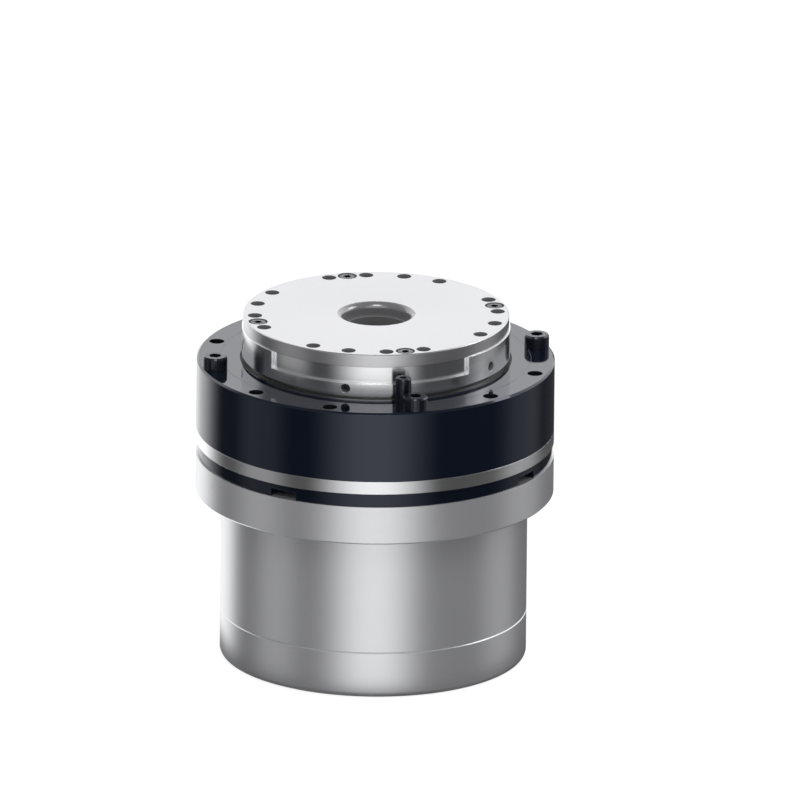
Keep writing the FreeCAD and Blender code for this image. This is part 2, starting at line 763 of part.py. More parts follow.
def make_motor_housing():
    """Barrel with a web for the rear bearing and brake, a ledge for the stator and the bolted flange."""
    housing = Piece("motor_housing")
    spigot = "barrel_radius - cover_wall - fit_clearance"
    ledge = "barrel_bore - stator_ledge"
    housing.turn([
        (f"{spigot} - spigot_wall", "cover_height - spigot_height"),
        (spigot, "cover_height - spigot_height"),
        (spigot, "cover_height"),
        ("barrel_radius - seam_chamfer", "cover_height"),
        ("barrel_radius", "cover_height + seam_chamfer"),
        ("barrel_radius", "flange_bottom"),
        ("flange_radius - edge_chamfer", "flange_bottom"),
        ("flange_radius", "flange_bottom + edge_chamfer"),
        ("flange_radius", "flange_top"),
        ("barrel_bore", "flange_top"),
        ("barrel_bore", "stator_bottom"),
        (ledge, "stator_bottom"),
        (ledge, "web_top"),
        ("boss_radius", "web_top"),
        ("boss_radius", "rear_bearing_top"),
        ("seat_radius", "rear_bearing_top"),
        ("seat_radius", "rear_bearing_bottom"),
        ("seat_bore", "rear_bearing_bottom"),
        ("seat_bore", "web_bottom"),
        ("barrel_bore", "web_bottom"),
        ("barrel_bore", "cover_height"),
        (f"{spigot} - spigot_wall", "cover_height"),
    ])
    corner = polar("post_circle", "post_angle")
    post = housing.boss(corner, "post_radius", "cover_height", "web_bottom")
    housing.repeat([post], "post_count")
    bite = "cover_height + cover_screw_bite"
    tapped = housing.drill(corner, "cover_screw_radius", bite, "cover_screw_bite")
    housing.repeat([tapped], "post_count")
    seat = housing.drill(("standoff_circle", "0"), "board_screw_radius", "web_bottom + board_screw_bite",
                         "board_screw_bite")
    housing.repeat([seat], "standoff_count")
    hole = housing.drill(polar("brake_screw_circle", "brake_screw_angle"), "brake_screw_hole", "web_top",
                         "web_thickness")
    housing.repeat([hole], "brake_screw_count")
    tapped = housing.drill(("stack_circle", "0"), "stack_thread_radius", "flange_top", "flange_height")
    housing.repeat([tapped], "stack_screw_count")
    for step in (1, 2):
        free = housing.drill(polar("stack_circle", f"{step} * 360 / stack_hole_count"), "stack_hole_radius",
                             "flange_top", "flange_height")
        housing.repeat([free], "stack_screw_count")


def make_brake():
    """Coil body, guide spacers and end plate on the web; armature and splined disc between them."""
    body = Piece("brake_body")
    body.ring("boss_radius + brake_clearance", "brake_radius", "web_top", "brake_top")
    coil_bottom = "brake_top - coil_height"
    body.turn([("coil_bore", coil_bottom), ("coil_radius", coil_bottom), ("coil_radius", "brake_top"),
               ("coil_bore", "brake_top")], cut=True)
    coil = Piece("brake_coil")
    coil.ring("coil_bore", "coil_radius", coil_bottom, "brake_top - fit_clearance")
    plate = Piece("brake_plate")
    plate.ring("boss_radius - brake_plate_overlap", "brake_radius", "brake_plate_bottom", "brake_plate_top")
    armature = Piece("brake_armature")
    armature.ring("boss_radius + armature_inset", "brake_radius", "armature_bottom", "armature_top")
    spacers = Piece("brake_spacers")
    sleeve = spacers.boss(polar("brake_screw_circle", "brake_screw_angle"), "spacer_radius", "brake_top",
                          "brake_plate_bottom")
    spacers.repeat([sleeve], "brake_screw_count")
    drilled = (
        (body, "brake_screw_hole", "brake_top", "brake_body_height"),
        (plate, "brake_screw_hole", "brake_plate_top", "brake_plate_height"),
        (armature, "spacer_radius + spacer_clearance", "armature_top", "armature_height"),
        (spacers, "brake_screw_hole", "brake_plate_bottom", "brake_plate_bottom - brake_top"),
    )
    for piece, radius, top, depth in drilled:
        hole = piece.drill(polar("brake_screw_circle", "brake_screw_angle"), radius, top, depth)
        piece.repeat([hole], "brake_screw_count")
    screws("brake_screws", "brake_screw_circle", "brake_screw_radius", "brake_head_radius",
           ("brake_plate_top", "web_bottom", "web_bottom - brake_head_height"), "brake_screw_count",
           start="brake_screw_angle")
    hub = Piece("brake_hub")
    hub.pad(hexagon("0", "brake_hub_flat / cos(30)"), "rear_bearing_top", "brake_plate_top")
    hub.drill(("0", "0"), "shaft_radius", "brake_plate_top", "brake_plate_top - rear_bearing_top")
    disc = Piece("brake_disc")
    disc.boss(("0", "0"), "brake_disc_radius", "brake_disc_bottom", "brake_disc_top")
    disc.pocket(hexagon("0", "(brake_hub_flat + fit_clearance) / cos(30)"), "brake_disc_top",
                "brake_disc_height")


def make_ball_bearing(name, bottom):
    """Deep-groove bearing between the shaft and a seat: two races, and balls in their cage."""
    middle = f"({bottom} + motor_bearing_width / 2)"
    top = f"({bottom} + motor_bearing_width)"
    pitch = "(shaft_radius + motor_race_section / 2)"
    groove = "(motor_ball_radius + running_clearance)"
    races = (
        (f"{name}_inner_race", "shaft_radius", "shaft_radius + motor_race_wall"),
        (f"{name}_outer_race", "seat_radius - motor_race_wall", "seat_radius"),
    )
    for label, inner, outer in races:
        race = Piece(label)
        race.ring(inner, outer, bottom, top)
        race.place("SubtractiveTorus", {"Radius1": pitch, "Radius2": groove}, ("0", "0", middle))
    make_balls(name, "motor", pitch, middle)


def make_balls(name, kind, pitch, middle):
    """Balls on a pitch circle, and the ring cage whose round pockets space them."""
    balls = Piece(f"{name}_balls")
    ball = balls.place("AdditiveSphere", {"Radius": f"{kind}_ball_radius"}, (pitch, "0", middle))
    balls.repeat([ball], f"{kind}_ball_count")
    cage = Piece(f"{name}_cage")
    wall, half = f"{kind}_cage_wall", f"{kind}_cage_height / 2"
    cage.ring(f"{pitch} - {wall} / 2", f"{pitch} + {wall} / 2", f"{middle} - {half}", f"{middle} + {half}")
    pocket = cage.place("SubtractiveCylinder",
                        {"Radius": f"{kind}_ball_radius + cage_clearance", "Height": f"2 * {wall}"},
                        (f"{pitch} - {wall}", "0", middle), FreeCAD.Vector(0, 1, 0), "90")
    cage.repeat([pocket], f"{kind}_ball_count")


def make_motor():
    """Hollow shaft and rotor with arc magnets, inside a slotted stator with a coil on each tooth."""
    shaft = Piece("rotor_shaft")
    shaft.ring("shaft_bore", "shaft_radius", "shaft_bottom", "shaft_top")
    yoke = Piece("rotor_yoke")
    web_low, web_high = "web_middle - yoke_web_height / 2", "web_middle + yoke_web_height / 2"
    yoke.turn([
        ("shaft_radius", "brake_plate_top"),
        ("hub_radius", "brake_plate_top"),
        ("hub_radius", web_low),
        ("yoke_bore", web_low),
        ("yoke_bore", "rotor_bottom"),
        ("magnet_bore", "rotor_bottom"),
        ("magnet_bore", "rotor_top"),
        ("yoke_bore", "rotor_top"),
        ("yoke_bore", web_high),
        ("hub_radius", web_high),
        ("hub_radius", "front_bearing_bottom"),
        ("shaft_radius", "front_bearing_bottom"),
    ])
    hole = yoke.drill(("(hub_radius + yoke_bore) / 2", "0"), "yoke_hole_radius", web_high, "yoke_web_height")
    yoke.repeat([hole], "yoke_hole_count")
    magnets = Piece("rotor_magnets")
    magnet = magnets.turn([
        ("magnet_bore", "rotor_bottom"),
        ("magnet_radius", "rotor_bottom"),
        ("magnet_radius", "rotor_top"),
        ("magnet_bore", "rotor_top"),
    ], angle="360 / magnet_count - magnet_gap_angle")
    magnets.repeat([magnet], "magnet_count")
    core = Piece("stator_core")
    core.ring("stator_root", "barrel_bore", "stator_bottom", "stator_top")
    half_tooth, half_shoe = "stator_tooth_width / 2", "stator_shoe_width / 2"
    tooth = core.pad([
        ("stator_bore", f"-{half_shoe}"),
        ("stator_neck", f"-{half_tooth}"),
        ("stator_root + stator_tooth_sink", f"-{half_tooth}"),
        ("stator_root + stator_tooth_sink", half_tooth),
        ("stator_neck", half_tooth),
        ("stator_bore", half_shoe),
    ], "stator_bottom", "stator_top")
    core.repeat([tooth], "stator_tooth_count")
    coils = Piece("stator_windings")
    inner, outer = "stator_neck + coil_clearance", "stator_root - 2 * coil_clearance"
    inside = f"{half_tooth} + coil_clearance"
    coil = coils.pad(box_outline(inner, outer, f"{half_tooth} + coil_thickness"), "winding_bottom",
                     "winding_top")
    window = coils.pocket(box_outline(inner, outer, inside), "stator_top + coil_clearance",
                          "stator_top - stator_bottom + 2 * coil_clearance")
    coils.repeat([coil, window], "stator_tooth_count")


def make_bracket():
    """Plate between motor and gear: it centres in the housing, carries the front bearing and its seal."""
    bracket = Piece("bearing_bracket")
    spigot = "barrel_bore - fit_clearance"
    bracket.turn([
        ("seat_bore", "boss_bottom"),
        ("boss_radius", "boss_bottom"),
        ("boss_radius", "flange_top"),
        (f"{spigot} - bracket_spigot_wall", "flange_top"),
        (f"{spigot} - bracket_spigot_wall", "flange_top - spigot_height"),
        (spigot, "flange_top - spigot_height"),
        (spigot, "flange_top"),
        ("bracket_radius", "flange_top"),
        ("bracket_radius", "bracket_top"),
        ("boss_radius", "bracket_top"),
        ("boss_radius", "boss_top"),
        ("seat_radius", "boss_top"),
        ("seat_radius", "front_bearing_bottom"),
        ("seat_bore", "front_bearing_bottom"),
    ])
    hole = bracket.drill(("stack_circle", "0"), "stack_hole_radius", "bracket_top", "bracket_height")
    bracket.repeat([hole], "stack_hole_count")
    near, far = "bracket_radius - pry_slot_depth", "bracket_radius + pry_slot_depth"
    slot = bracket.pocket(box_outline(near, far, "pry_slot_width / 2", "pry_slot_angle"),
                          "flange_top + pry_slot_height", "pry_slot_height")
    bracket.repeat([slot], "stack_screw_count")


def make_flexspline():
    """Hat-shaped spring steel cup: clamped flange, thin diaphragm and a toothed open end."""
    flex = Piece("flexspline")
    thin = "flex_bore + flex_thin_wall"
    flex.turn([
        ("flex_bore", "diaphragm_bottom"),
        ("diaphragm_radius", "diaphragm_bottom"),
        ("diaphragm_radius", "bracket_top"),
        ("flange_radius", "bracket_top"),
        ("flange_radius", "bearing_bottom"),
        ("diaphragm_radius", "bearing_bottom"),
        ("diaphragm_radius", "diaphragm_top"),
        (thin, "diaphragm_top"),
        (thin, "tooth_bottom - flex_thin_wall"),
        ("flex_root", "tooth_bottom"),
        ("flex_root", "flex_top"),
        ("flex_bore", "flex_top"),
    ])
    flex.dress("Fillet", [(thin, "diaphragm_top")], "flex_fillet")
    hole = flex.drill(("stack_circle", "0"), "stack_hole_radius", "bearing_bottom", "flex_flange_height")
    flex.repeat([hole], "stack_hole_count")
    tooth = flex.pad([
        ("flex_root - tooth_sink", "-tooth_module"),
        ("flex_tip", "-tooth_tip"),
        ("flex_tip", "tooth_tip"),
        ("flex_root - tooth_sink", "tooth_module"),
    ], "tooth_bottom", "flex_top")
    flex.repeat([tooth], "flex_teeth")


def make_circular_spline():
    """Internal gear screwed up into the output ring from below."""
    ring = Piece("circular_spline")
    ring.ring("ring_root", "ring_radius", "ring_bottom", "roof")
    tooth = ring.pad([
        ("ring_tip", "-tooth_tip"),
        ("ring_root + tooth_module", "-tooth_module"),
        ("ring_root + tooth_module", "tooth_module"),
        ("ring_tip", "tooth_tip"),
    ], "ring_bottom", "roof")
    ring.repeat([tooth], "ring_teeth")
    hole = ring.drill(("ring_screw_circle", "0"), "ring_screw_hole", "roof", "roof - ring_bottom")
    ring.repeat([hole], "ring_screw_count")
    screws("spline_screws", "ring_screw_circle", "ring_screw_radius", "ring_head_radius",
           ("roof + ring_screw_bite", "ring_bottom", "ring_bottom - ring_head_height"), "ring_screw_count")


def make_wave_generator():
    """Elliptical plug and inner race on the shaft, and balls that roll in the flexspline's outer race."""
    outer = Piece("wave_outer_race")
    outer.ring("wave_outer_bore", "wave_outer", "wave_race_bottom", "wave_race_top")
    outer.place("SubtractiveTorus", {"Radius1": "wave_ball_circle",
                                     "Radius2": "wave_ball_radius + running_clearance"},
                ("0", "0", "wave_middle"))
    make_balls("wave", "wave", "wave_ball_circle", "wave_middle")
    inner = Piece("wave_inner_race")
    inner.ellipse("wave_major", "wave_minor", "wave_race_bottom", "wave_race_top")
    inner.ellipse("plug_major", "plug_minor", "wave_race_bottom", "wave_race_top", cut=True)
    plug = Piece("wave_plug")
    plug.ellipse("plug_major", "plug_minor", "wave_race_bottom", "wave_race_top")
    plug.boss(("0", "0"), "shaft_radius + plug_hub_wall", "boss_top + plug_hub_gap", "wave_race_bottom")
    plug.drill(("0", "0"), "shaft_radius", "wave_race_top", "wave_race_top - boss_top - plug_hub_gap")
    retainer = Piece("wave_retainer")
    retainer.ring("shaft_radius", "retainer_radius", "wave_race_top", "retainer_top")
    near, far = "retainer_radius - retainer_notch", "retainer_radius + retainer_notch"
    notch = retainer.pocket(box_outline(near, far, "retainer_notch"), "retainer_top", "retainer_height")
    retainer.repeat([notch], "retainer_notch_count")


def make_output_bearing():
    """Crossed rollers between the outer ring and the output ring, sealed on top."""
    outer = Piece("bearing_outer_ring")
    seat = "seal_ring_radius + fit_clearance"
    outer.turn([
        ("outer_ring_bore", "bearing_bottom"),
        ("flange_radius", "bearing_bottom"),
        ("flange_radius", "bearing_top - edge_chamfer"),
        ("flange_radius - edge_chamfer", "bearing_top"),
        (seat, "bearing_top"),
        (seat, "seal_ring_bottom"),
        ("outer_ring_bore", "seal_ring_bottom"),
        ("outer_ring_bore", "roller_middle + groove_mouth"),
        ("roller_circle + groove_half", "roller_middle"),
        ("outer_ring_bore", "roller_middle - groove_mouth"),
    ])
    hole = outer.drill(("stack_circle", "0"), "stack_hole_radius", "bearing_top", "bearing_height")
    outer.repeat([hole], "stack_hole_count")
    for name, rise, start in (("rollers_rising", 1, "0"), ("rollers_falling", -1, "180 / roller_pairs")):
        rollers = Piece(name, turned=start)
        half, wide = "roller_length / 2 * cos(45)", "roller_radius * cos(45)"
        inner = f"roller_circle - {half}", f"roller_middle - {rise} * {half}"
        outer = f"roller_circle + {half}", f"roller_middle + {rise} * {half}"
        side = [(f"{x} - {wide}", f"{y} + {rise} * {wide}") for x, y in (outer, inner)]
        roller = rollers.turn([inner, outer, *side], axis=(inner, outer))
        rollers.repeat([roller], "roller_pairs")
    spacers = Piece("roller_spacers", turned="90 / roller_pairs")
    spacer = spacers.place("AdditiveCylinder", {"Radius": "roller_spacer_radius",
                                                "Height": "roller_spacer_height"},
                           ("roller_circle", "roller_spacer_height / 2", "roller_middle"),
                           FreeCAD.Vector(1, 0, 0), "90")
    spacers.repeat([spacer], "2 * roller_pairs")
    ring = Piece("seal_ring")
    ring.turn([
        ("seal_ring_bore", "seal_top"),
        ("seal_ring_bore", "bearing_top"),
        ("seal_ring_radius", "bearing_top"),
        ("seal_ring_radius", "seal_ring_bottom"),
        ("seal_radius + fit_clearance", "seal_ring_bottom"),
        ("seal_radius + fit_clearance", "seal_top"),
    ])
    port = polar("plug_circle", "plug_angle")
    ring.drill(port, "plug_stem_radius + fit_clearance", "bearing_top", "seal_ring_height")
    seal = Piece("oil_seal")
    seal.ring("neck_radius + running_clearance", "seal_radius", "seal_top - seal_height", "seal_top")
    screws("grease_plug", "plug_circle", "plug_stem_radius", "plug_radius",
           ("seal_ring_bottom", "bearing_top", "bearing_top + plug_height"), "1", start="plug_angle",
           socket="plug_socket_radius", depth="plug_socket_depth")
    screws("stack_screws", "stack_circle", "stack_screw_radius", "stack_head_radius",
           ("flange_top - stack_screw_bite", "bearing_top", "bearing_top + stack_head_height"),
           "stack_screw_count", socket="stack_socket_radius", depth="stack_socket_depth")


def make_output():
    """Output ring, which is the bearing's inner ring, with the disc, its screws and the centre tube."""
    output = Piece("output_ring")
    seat = "tube_flange_radius + fit_clearance"
    hole = "tube_radius + fit_clearance"
    output.turn([
        ("ring_seat", "inner_ring_bottom"),
        ("inner_ring_radius", "inner_ring_bottom"),
        ("inner_ring_radius", "roller_middle - groove_mouth"),
        ("roller_circle - groove_half", "roller_middle"),
        ("inner_ring_radius", "roller_middle + groove_mouth"),
        ("inner_ring_radius", "inner_ring_shoulder"),
        ("neck_radius", "inner_ring_shoulder"),
        ("neck_radius", "output_bottom"),
        ("output_radius", "output_bottom"),
        ("output_radius", "output_top"),
        (seat, "output_top"),
        (seat, "output_top - tube_flange_height"),
        (hole, "output_top - tube_flange_height"),
        (hole, "roof"),
        ("ring_seat", "roof"),
    ])
    floor = "output_radius - recess_depth"
    recess = output.turn([
        (floor, "output_top - recess_height"),
        ("output_radius + recess_depth", "output_top - recess_height"),
        ("output_radius + recess_depth", "output_top + recess_depth"),
        (floor, "output_top + recess_depth"),
    ], cut=True, angle="recess_angle", start=SIZES["recess_middle_angle"])
    output.repeat([recess], "recess_count")
    for angle, level in SIDE_HOLES:
        x, y = polar("output_radius + side_hole_radius", str(angle))
        output.place("SubtractiveCylinder", {"Radius": "side_hole_radius",
                                             "Height": "side_hole_depth + side_hole_radius"},
                     (x, y, level), side_axis(angle), "-90")
    drill_output(output, "output_top", "output_thread_depth - disc_height",
                 "disc_screw_length - disc_head_height")
    hole = output.drill(("ring_screw_circle", "0"), "ring_screw_radius",
                        "roof + ring_screw_bite + ring_screw_run", "ring_screw_bite + ring_screw_run")
    output.repeat([hole], "ring_screw_count")
    disc = Piece("output_disc")
    disc.turn([
        ("tube_radius", "output_top"),
        ("disc_radius", "output_top"),
        ("disc_radius", "disc_top - seam_chamfer"),
        ("disc_radius - seam_chamfer", "disc_top"),
        ("tube_radius", "disc_top"),
    ])
    disc.dress("Fillet", [("tube_radius", "disc_top")], "bore_lip")
    drill_output(disc, "disc_top", "disc_height", "disc_height")
    bored = disc.drill(("output_circle", "0"), "disc_counterbore_radius", "disc_top",
                       "disc_counterbore_depth")
    disc.repeat([bored], "output_quarters")
    neck = "disc_top - disc_counterbore_depth"
    screws("disc_screws", "output_circle", "disc_screw_radius", "disc_head_radius",
           (f"{neck} - disc_screw_length + disc_head_height", neck, f"{neck} + disc_head_height"),
           "output_quarters", socket="disc_socket_radius", depth="disc_socket_depth")
    tube = Piece("centre_tube")
    tube.turn([
        ("bore_radius", "tube_end_height"),
        ("tube_radius", "tube_end_height"),
        ("tube_radius", "output_top - tube_flange_height"),
        ("tube_flange_radius", "output_top - tube_flange_height"),
        ("tube_flange_radius", "output_top"),
        ("bore_radius", "output_top"),
    ])


def side_axis(angle):
    """The horizontal axis that tips an upright cylinder inward at an angle about Z."""
    return FreeCAD.Vector(-math.sin(math.radians(angle)), math.cos(math.radians(angle)), 0)


def drill_output(piece, top, thread_depth, screw_depth):
    """Drill the sixteen tapped holes and the four screw holes of the output circle."""
    for step in OUTPUT_HOLES:
        hole = piece.drill(polar("output_circle", f"{step} * output_hole_angle"), "output_thread_radius",
                           top, thread_depth)
        piece.repeat([hole], "output_quarters")
    hole = piece.drill(("output_circle", "0"), "disc_screw_radius + fit_clearance", top, screw_depth)
    piece.repeat([hole], "output_quarters")


def make_encoder_rings():
    """Magnetic rings either side of the encoder board, on the rotor shaft and on the centre tube."""
    rotor = Piece("rotor_encoder_ring")
    rotor.ring("shaft_radius", "encoder_ring_radius", "shaft_bottom", "rotor_encoder_top")
    output = Piece("output_encoder_ring")
    output.ring("tube_radius", "encoder_ring_radius", "output_encoder_top - encoder_ring_thickness",
                "output_encoder_top")


def make_shaft_seal():
    """Seal on the shaft above the front bearing, which keeps grease out of the motor."""
    seal = Piece("shaft_seal")
    seal.ring("shaft_radius + running_clearance", "seat_radius", "front_bearing_top", "boss_top")


sheet = fill_sheet()
make_rear_cover()
make_electronics()
make_encoder_rings()
make_motor_housing()
make_brake()
make_ball_bearing("rear", "rear_bearing_bottom")
make_motor()
make_bracket()
make_ball_bearing("front", "front_bearing_bottom")
make_shaft_seal()
make_flexspline()
make_circular_spline()
make_wave_generator()
make_output_bearing()
make_output()
doc.recompute()

for item in doc.Objects:
    assert "Invalid" not in item.State and "Error" not in item.State, item.Label
for base, cut in cuts:
    assert cut.Shape.Volume < base.Shape.Volume - SAME, cut.Label
os.makedirs("parts", exist_ok=True)
for piece in pieces:
    shape = piece.Shape
    assert not shape.isNull() and shape.isValid() and shape.Volume > 0, piece.Label
    shape.exportStep(f"parts/{piece.Label}.step")
    print(f"{piece.Label}: {len(shape.Solids)} solids, {shape.Volume:.1f} mm3")
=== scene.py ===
import json
import logging
import math
from dataclasses import dataclass, field
from enum import Enum

import bmesh
import bpy
from mathutils import Matrix, Vector

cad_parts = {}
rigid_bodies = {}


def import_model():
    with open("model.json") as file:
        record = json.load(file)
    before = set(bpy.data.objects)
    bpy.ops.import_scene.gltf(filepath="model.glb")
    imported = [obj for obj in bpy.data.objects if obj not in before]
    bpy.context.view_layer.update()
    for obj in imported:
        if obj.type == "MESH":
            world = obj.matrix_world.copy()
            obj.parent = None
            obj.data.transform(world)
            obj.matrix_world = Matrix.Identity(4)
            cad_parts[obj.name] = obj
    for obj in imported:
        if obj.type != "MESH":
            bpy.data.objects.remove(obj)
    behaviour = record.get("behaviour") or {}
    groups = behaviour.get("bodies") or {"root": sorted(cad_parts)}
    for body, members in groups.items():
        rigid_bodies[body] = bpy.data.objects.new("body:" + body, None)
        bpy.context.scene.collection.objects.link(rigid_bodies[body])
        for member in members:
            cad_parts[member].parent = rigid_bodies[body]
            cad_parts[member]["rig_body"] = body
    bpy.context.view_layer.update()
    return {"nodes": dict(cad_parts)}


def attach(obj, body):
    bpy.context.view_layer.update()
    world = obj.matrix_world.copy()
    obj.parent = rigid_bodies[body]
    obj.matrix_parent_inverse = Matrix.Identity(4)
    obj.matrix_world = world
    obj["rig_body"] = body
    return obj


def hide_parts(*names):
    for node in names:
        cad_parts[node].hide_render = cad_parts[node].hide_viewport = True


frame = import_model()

MM = 0.001
MERGE = 1e-7
RING_TOP = 68.85 * MM
OUTPUT_TOP = 76.3 * MM
DISC_TOP = 79.2 * MM
STACK_CIRCLE = 37.0 * MM
DISC_CIRCLE = 27.2 * MM
AXIS = Vector((0.0, 0.0, 1.0))
ORIGIN = Vector((0.0, 0.0, 0.0))

logging.basicConfig(level=logging.INFO, format="%(levelname)s %(name)s: %(message)s")
log = logging.getLogger("joint_actuator")

Colour = tuple[float, float, float]
Point = tuple[float, float]


# ---------------------------------------------------------------------------------------------
# Finishes
# ---------------------------------------------------------------------------------------------


class Grain(Enum):
    """How a surface was made, which sets the pattern of its bump and gloss."""

    BLASTED = "bead blasted"
    TURNED = "turned marks about the axis"
    LAPPED = "fine lapped face"
    MOULDED = "moulded skin"
    WOVEN = "glass cloth under solder mask"


class Slot(Enum):
    """The record's material slots that new pieces take their finish from."""

    SATIN_ALUMINIUM = "satin_aluminium"
    BLACK_STEEL = "black_steel"
    BRIGHT_STEEL = "bright_steel"
    BLACK_SCREW = "black_screw"


@dataclass(frozen=True)
class Finish:
    """A finish as a maker would order it: colour, gloss, the marks of its making, and its worn edges with a
    painted highlight.

    Lengths are in metres. The two colours mix by the grain, the spread is how far roughness varies,
    and the tint colours a plain gloss. The edge colour, of worn metal and painted highlight, shows
    along edges, over the width given.
    """

    name: str
    grain: Grain
    colour: Colour
    shade: Colour
    metallic: float
    roughness: float
    spread: float
    grain_size: float
    grain_depth: float
    anisotropy: float = 0.0
    ior: float = 1.5
    specular: float = 0.5
    tint: Colour = (1.0, 1.0, 1.0)
    coat: float = 0.0
    coat_roughness: float = 0.12
    # Edge colour: partly worn metal, partly a painted highlight along the edges.
    wear_and_highlight: float = 0.0
    wear_and_highlight_width: float = 0.00016
    wear_and_highlight_colour: Colour = (0.62, 0.62, 0.63)


SATIN = Finish(
    "satin_blasted_aluminium", Grain.BLASTED, (0.695, 0.698, 0.718), (0.675, 0.678, 0.698), metallic=0.75,
    roughness=0.29, spread=0.02, grain_size=1.1e-4, grain_depth=3e-7, wear_and_highlight=0.08, wear_and_highlight_width=6e-5,
    wear_and_highlight_colour=(0.80, 0.80, 0.81))
DISC_FACE = Finish(
    "lapped_silver_aluminium", Grain.LAPPED, (0.675, 0.677, 0.697), (0.661, 0.663, 0.683), metallic=0.40,
    roughness=0.33, spread=0.02, grain_size=9e-5, grain_depth=2e-7)
DISC_EDGE = Finish(
    "turned_silver_aluminium", Grain.TURNED, (0.552, 0.554, 0.572), (0.537, 0.539, 0.557), metallic=0.90,
    roughness=0.29, spread=0.02, grain_size=1.6e-4, grain_depth=2e-7, wear_and_highlight=0.1,
    wear_and_highlight_colour=(0.75, 0.75, 0.75))
TURNED_STEEL = Finish(
    "turned_bright_steel", Grain.TURNED, (0.795, 0.797, 0.815), (0.755, 0.757, 0.775), metallic=1.0,
    roughness=0.21, spread=0.03, grain_size=1.6e-4, grain_depth=3e-7, anisotropy=0.7)
FLANGE_STEEL = Finish(
    "turned_flange_steel", Grain.TURNED, (0.755, 0.757, 0.772), (0.715, 0.717, 0.732), metallic=1.0,
    roughness=0.25, spread=0.02, grain_size=1.6e-4, grain_depth=3e-7, anisotropy=0.88)
GEAR_STEEL = Finish(
    "gear_steel", Grain.TURNED, (0.56, 0.555, 0.55), (0.46, 0.455, 0.45), metallic=1.0, roughness=0.26,
    spread=0.08, grain_size=2e-4, grain_depth=2e-6, anisotropy=0.4, wear_and_highlight=0.3,
    wear_and_highlight_colour=(0.80, 0.80, 0.79))
RACE_STEEL = Finish(
    "ground_race_steel", Grain.TURNED, (0.66, 0.655, 0.65), (0.58, 0.575, 0.57), metallic=1.0,
    roughness=0.14, spread=0.05, grain_size=1.2e-4, grain_depth=8e-7, anisotropy=0.4)
BALL_STEEL = Finish(
    "polished_ball_steel", Grain.LAPPED, (0.72, 0.72, 0.72), (0.68, 0.68, 0.68), metallic=1.0,
    roughness=0.07, spread=0.03, grain_size=3e-4, grain_depth=3e-7)
CAGE_BRASS = Finish(
    "machined_cage_brass", Grain.TURNED, (0.62, 0.45, 0.20), (0.50, 0.35, 0.15), metallic=1.0,
    roughness=0.30, spread=0.08, grain_size=2e-4, grain_depth=2e-6, anisotropy=0.3)
# The lighter edge colour of the black finishes is mostly a painted highlight on their chamfers and edges.
BLACK_RING = Finish(
    "black_finished_ring", Grain.TURNED, (0.0025, 0.0050, 0.0120), (0.0020, 0.0042, 0.0105), metallic=0.0,
    roughness=0.065, spread=0.01, grain_size=1.8e-4, grain_depth=2e-7, ior=1.56, tint=(0.80, 0.84, 1.0),
    wear_and_highlight=0.35, wear_and_highlight_colour=(0.12, 0.13, 0.15))
BLACK_BAND = Finish(
    "black_anodised_band", Grain.TURNED, (0.0025, 0.0045, 0.0100), (0.0020, 0.0038, 0.0090), metallic=0.0,
    roughness=0.085, spread=0.01, grain_size=1.8e-4, grain_depth=3e-7, ior=1.5, tint=(0.80, 0.84, 1.0),
    wear_and_highlight=0.25, wear_and_highlight_colour=(0.12, 0.13, 0.15))
BLACK_OXIDE = Finish(
    "black_oxide_screw", Grain.MOULDED, (0.004, 0.005, 0.009), (0.007, 0.008, 0.013), metallic=0.0,
    roughness=0.20, spread=0.05, grain_size=2e-4, grain_depth=1e-6, ior=1.5, tint=(0.80, 0.84, 1.0),
    wear_and_highlight=0.2, wear_and_highlight_colour=(0.10, 0.10, 0.12))
COPPER_WIRE = Finish(
    "enamelled_copper", Grain.MOULDED, (0.55, 0.20, 0.07), (0.42, 0.13, 0.04), metallic=1.0, roughness=0.28,
    spread=0.08, grain_size=3.5e-4, grain_depth=4e-6, coat=0.6)
MAGNET_PLATE = Finish(
    "nickel_plated_magnet", Grain.LAPPED, (0.56, 0.55, 0.52), (0.48, 0.47, 0.45), metallic=1.0,
    roughness=0.22, spread=0.06, grain_size=3e-4, grain_depth=1e-6, wear_and_highlight=0.3,
    wear_and_highlight_colour=(0.75, 0.74, 0.70))
LAMINATION = Finish(
    "blued_laminations", Grain.TURNED, (0.20, 0.21, 0.23), (0.12, 0.13, 0.15), metallic=1.0, roughness=0.38,
    spread=0.08, grain_size=3.5e-4, grain_depth=6e-6)
LINING = Finish(
    "friction_lining", Grain.MOULDED, (0.060, 0.045, 0.035), (0.100, 0.075, 0.055), metallic=0.0,
    roughness=0.78, spread=0.08, grain_size=4e-4, grain_depth=1.5e-5)
BOARD = Finish(
    "circuit_board", Grain.WOVEN, (0.010, 0.075, 0.035), (0.020, 0.120, 0.055), metallic=0.0,
    roughness=0.30, spread=0.08, grain_size=5e-4, grain_depth=4e-6, coat=0.5, wear_and_highlight=0.6,
    wear_and_highlight_colour=(0.30, 0.24, 0.12))
PLASTIC = Finish(
    "black_moulded_plastic", Grain.MOULDED, (0.012, 0.012, 0.013), (0.020, 0.020, 0.021), metallic=0.0,
    roughness=0.45, spread=0.06, grain_size=1.5e-4, grain_depth=4e-6)
BRASS = Finish(
    "brass_standoff", Grain.TURNED, (0.66, 0.48, 0.20), (0.55, 0.39, 0.15), metallic=1.0, roughness=0.26,
    spread=0.06, grain_size=1.8e-4, grain_depth=2e-6, anisotropy=0.3, wear_and_highlight=0.4,
    wear_and_highlight_colour=(0.80, 0.62, 0.32))
RUBBER = Finish(
    "seal_rubber", Grain.MOULDED, (0.010, 0.010, 0.011), (0.016, 0.016, 0.017), metallic=0.0,
    roughness=0.52, spread=0.06, grain_size=1.2e-4, grain_depth=3e-6)
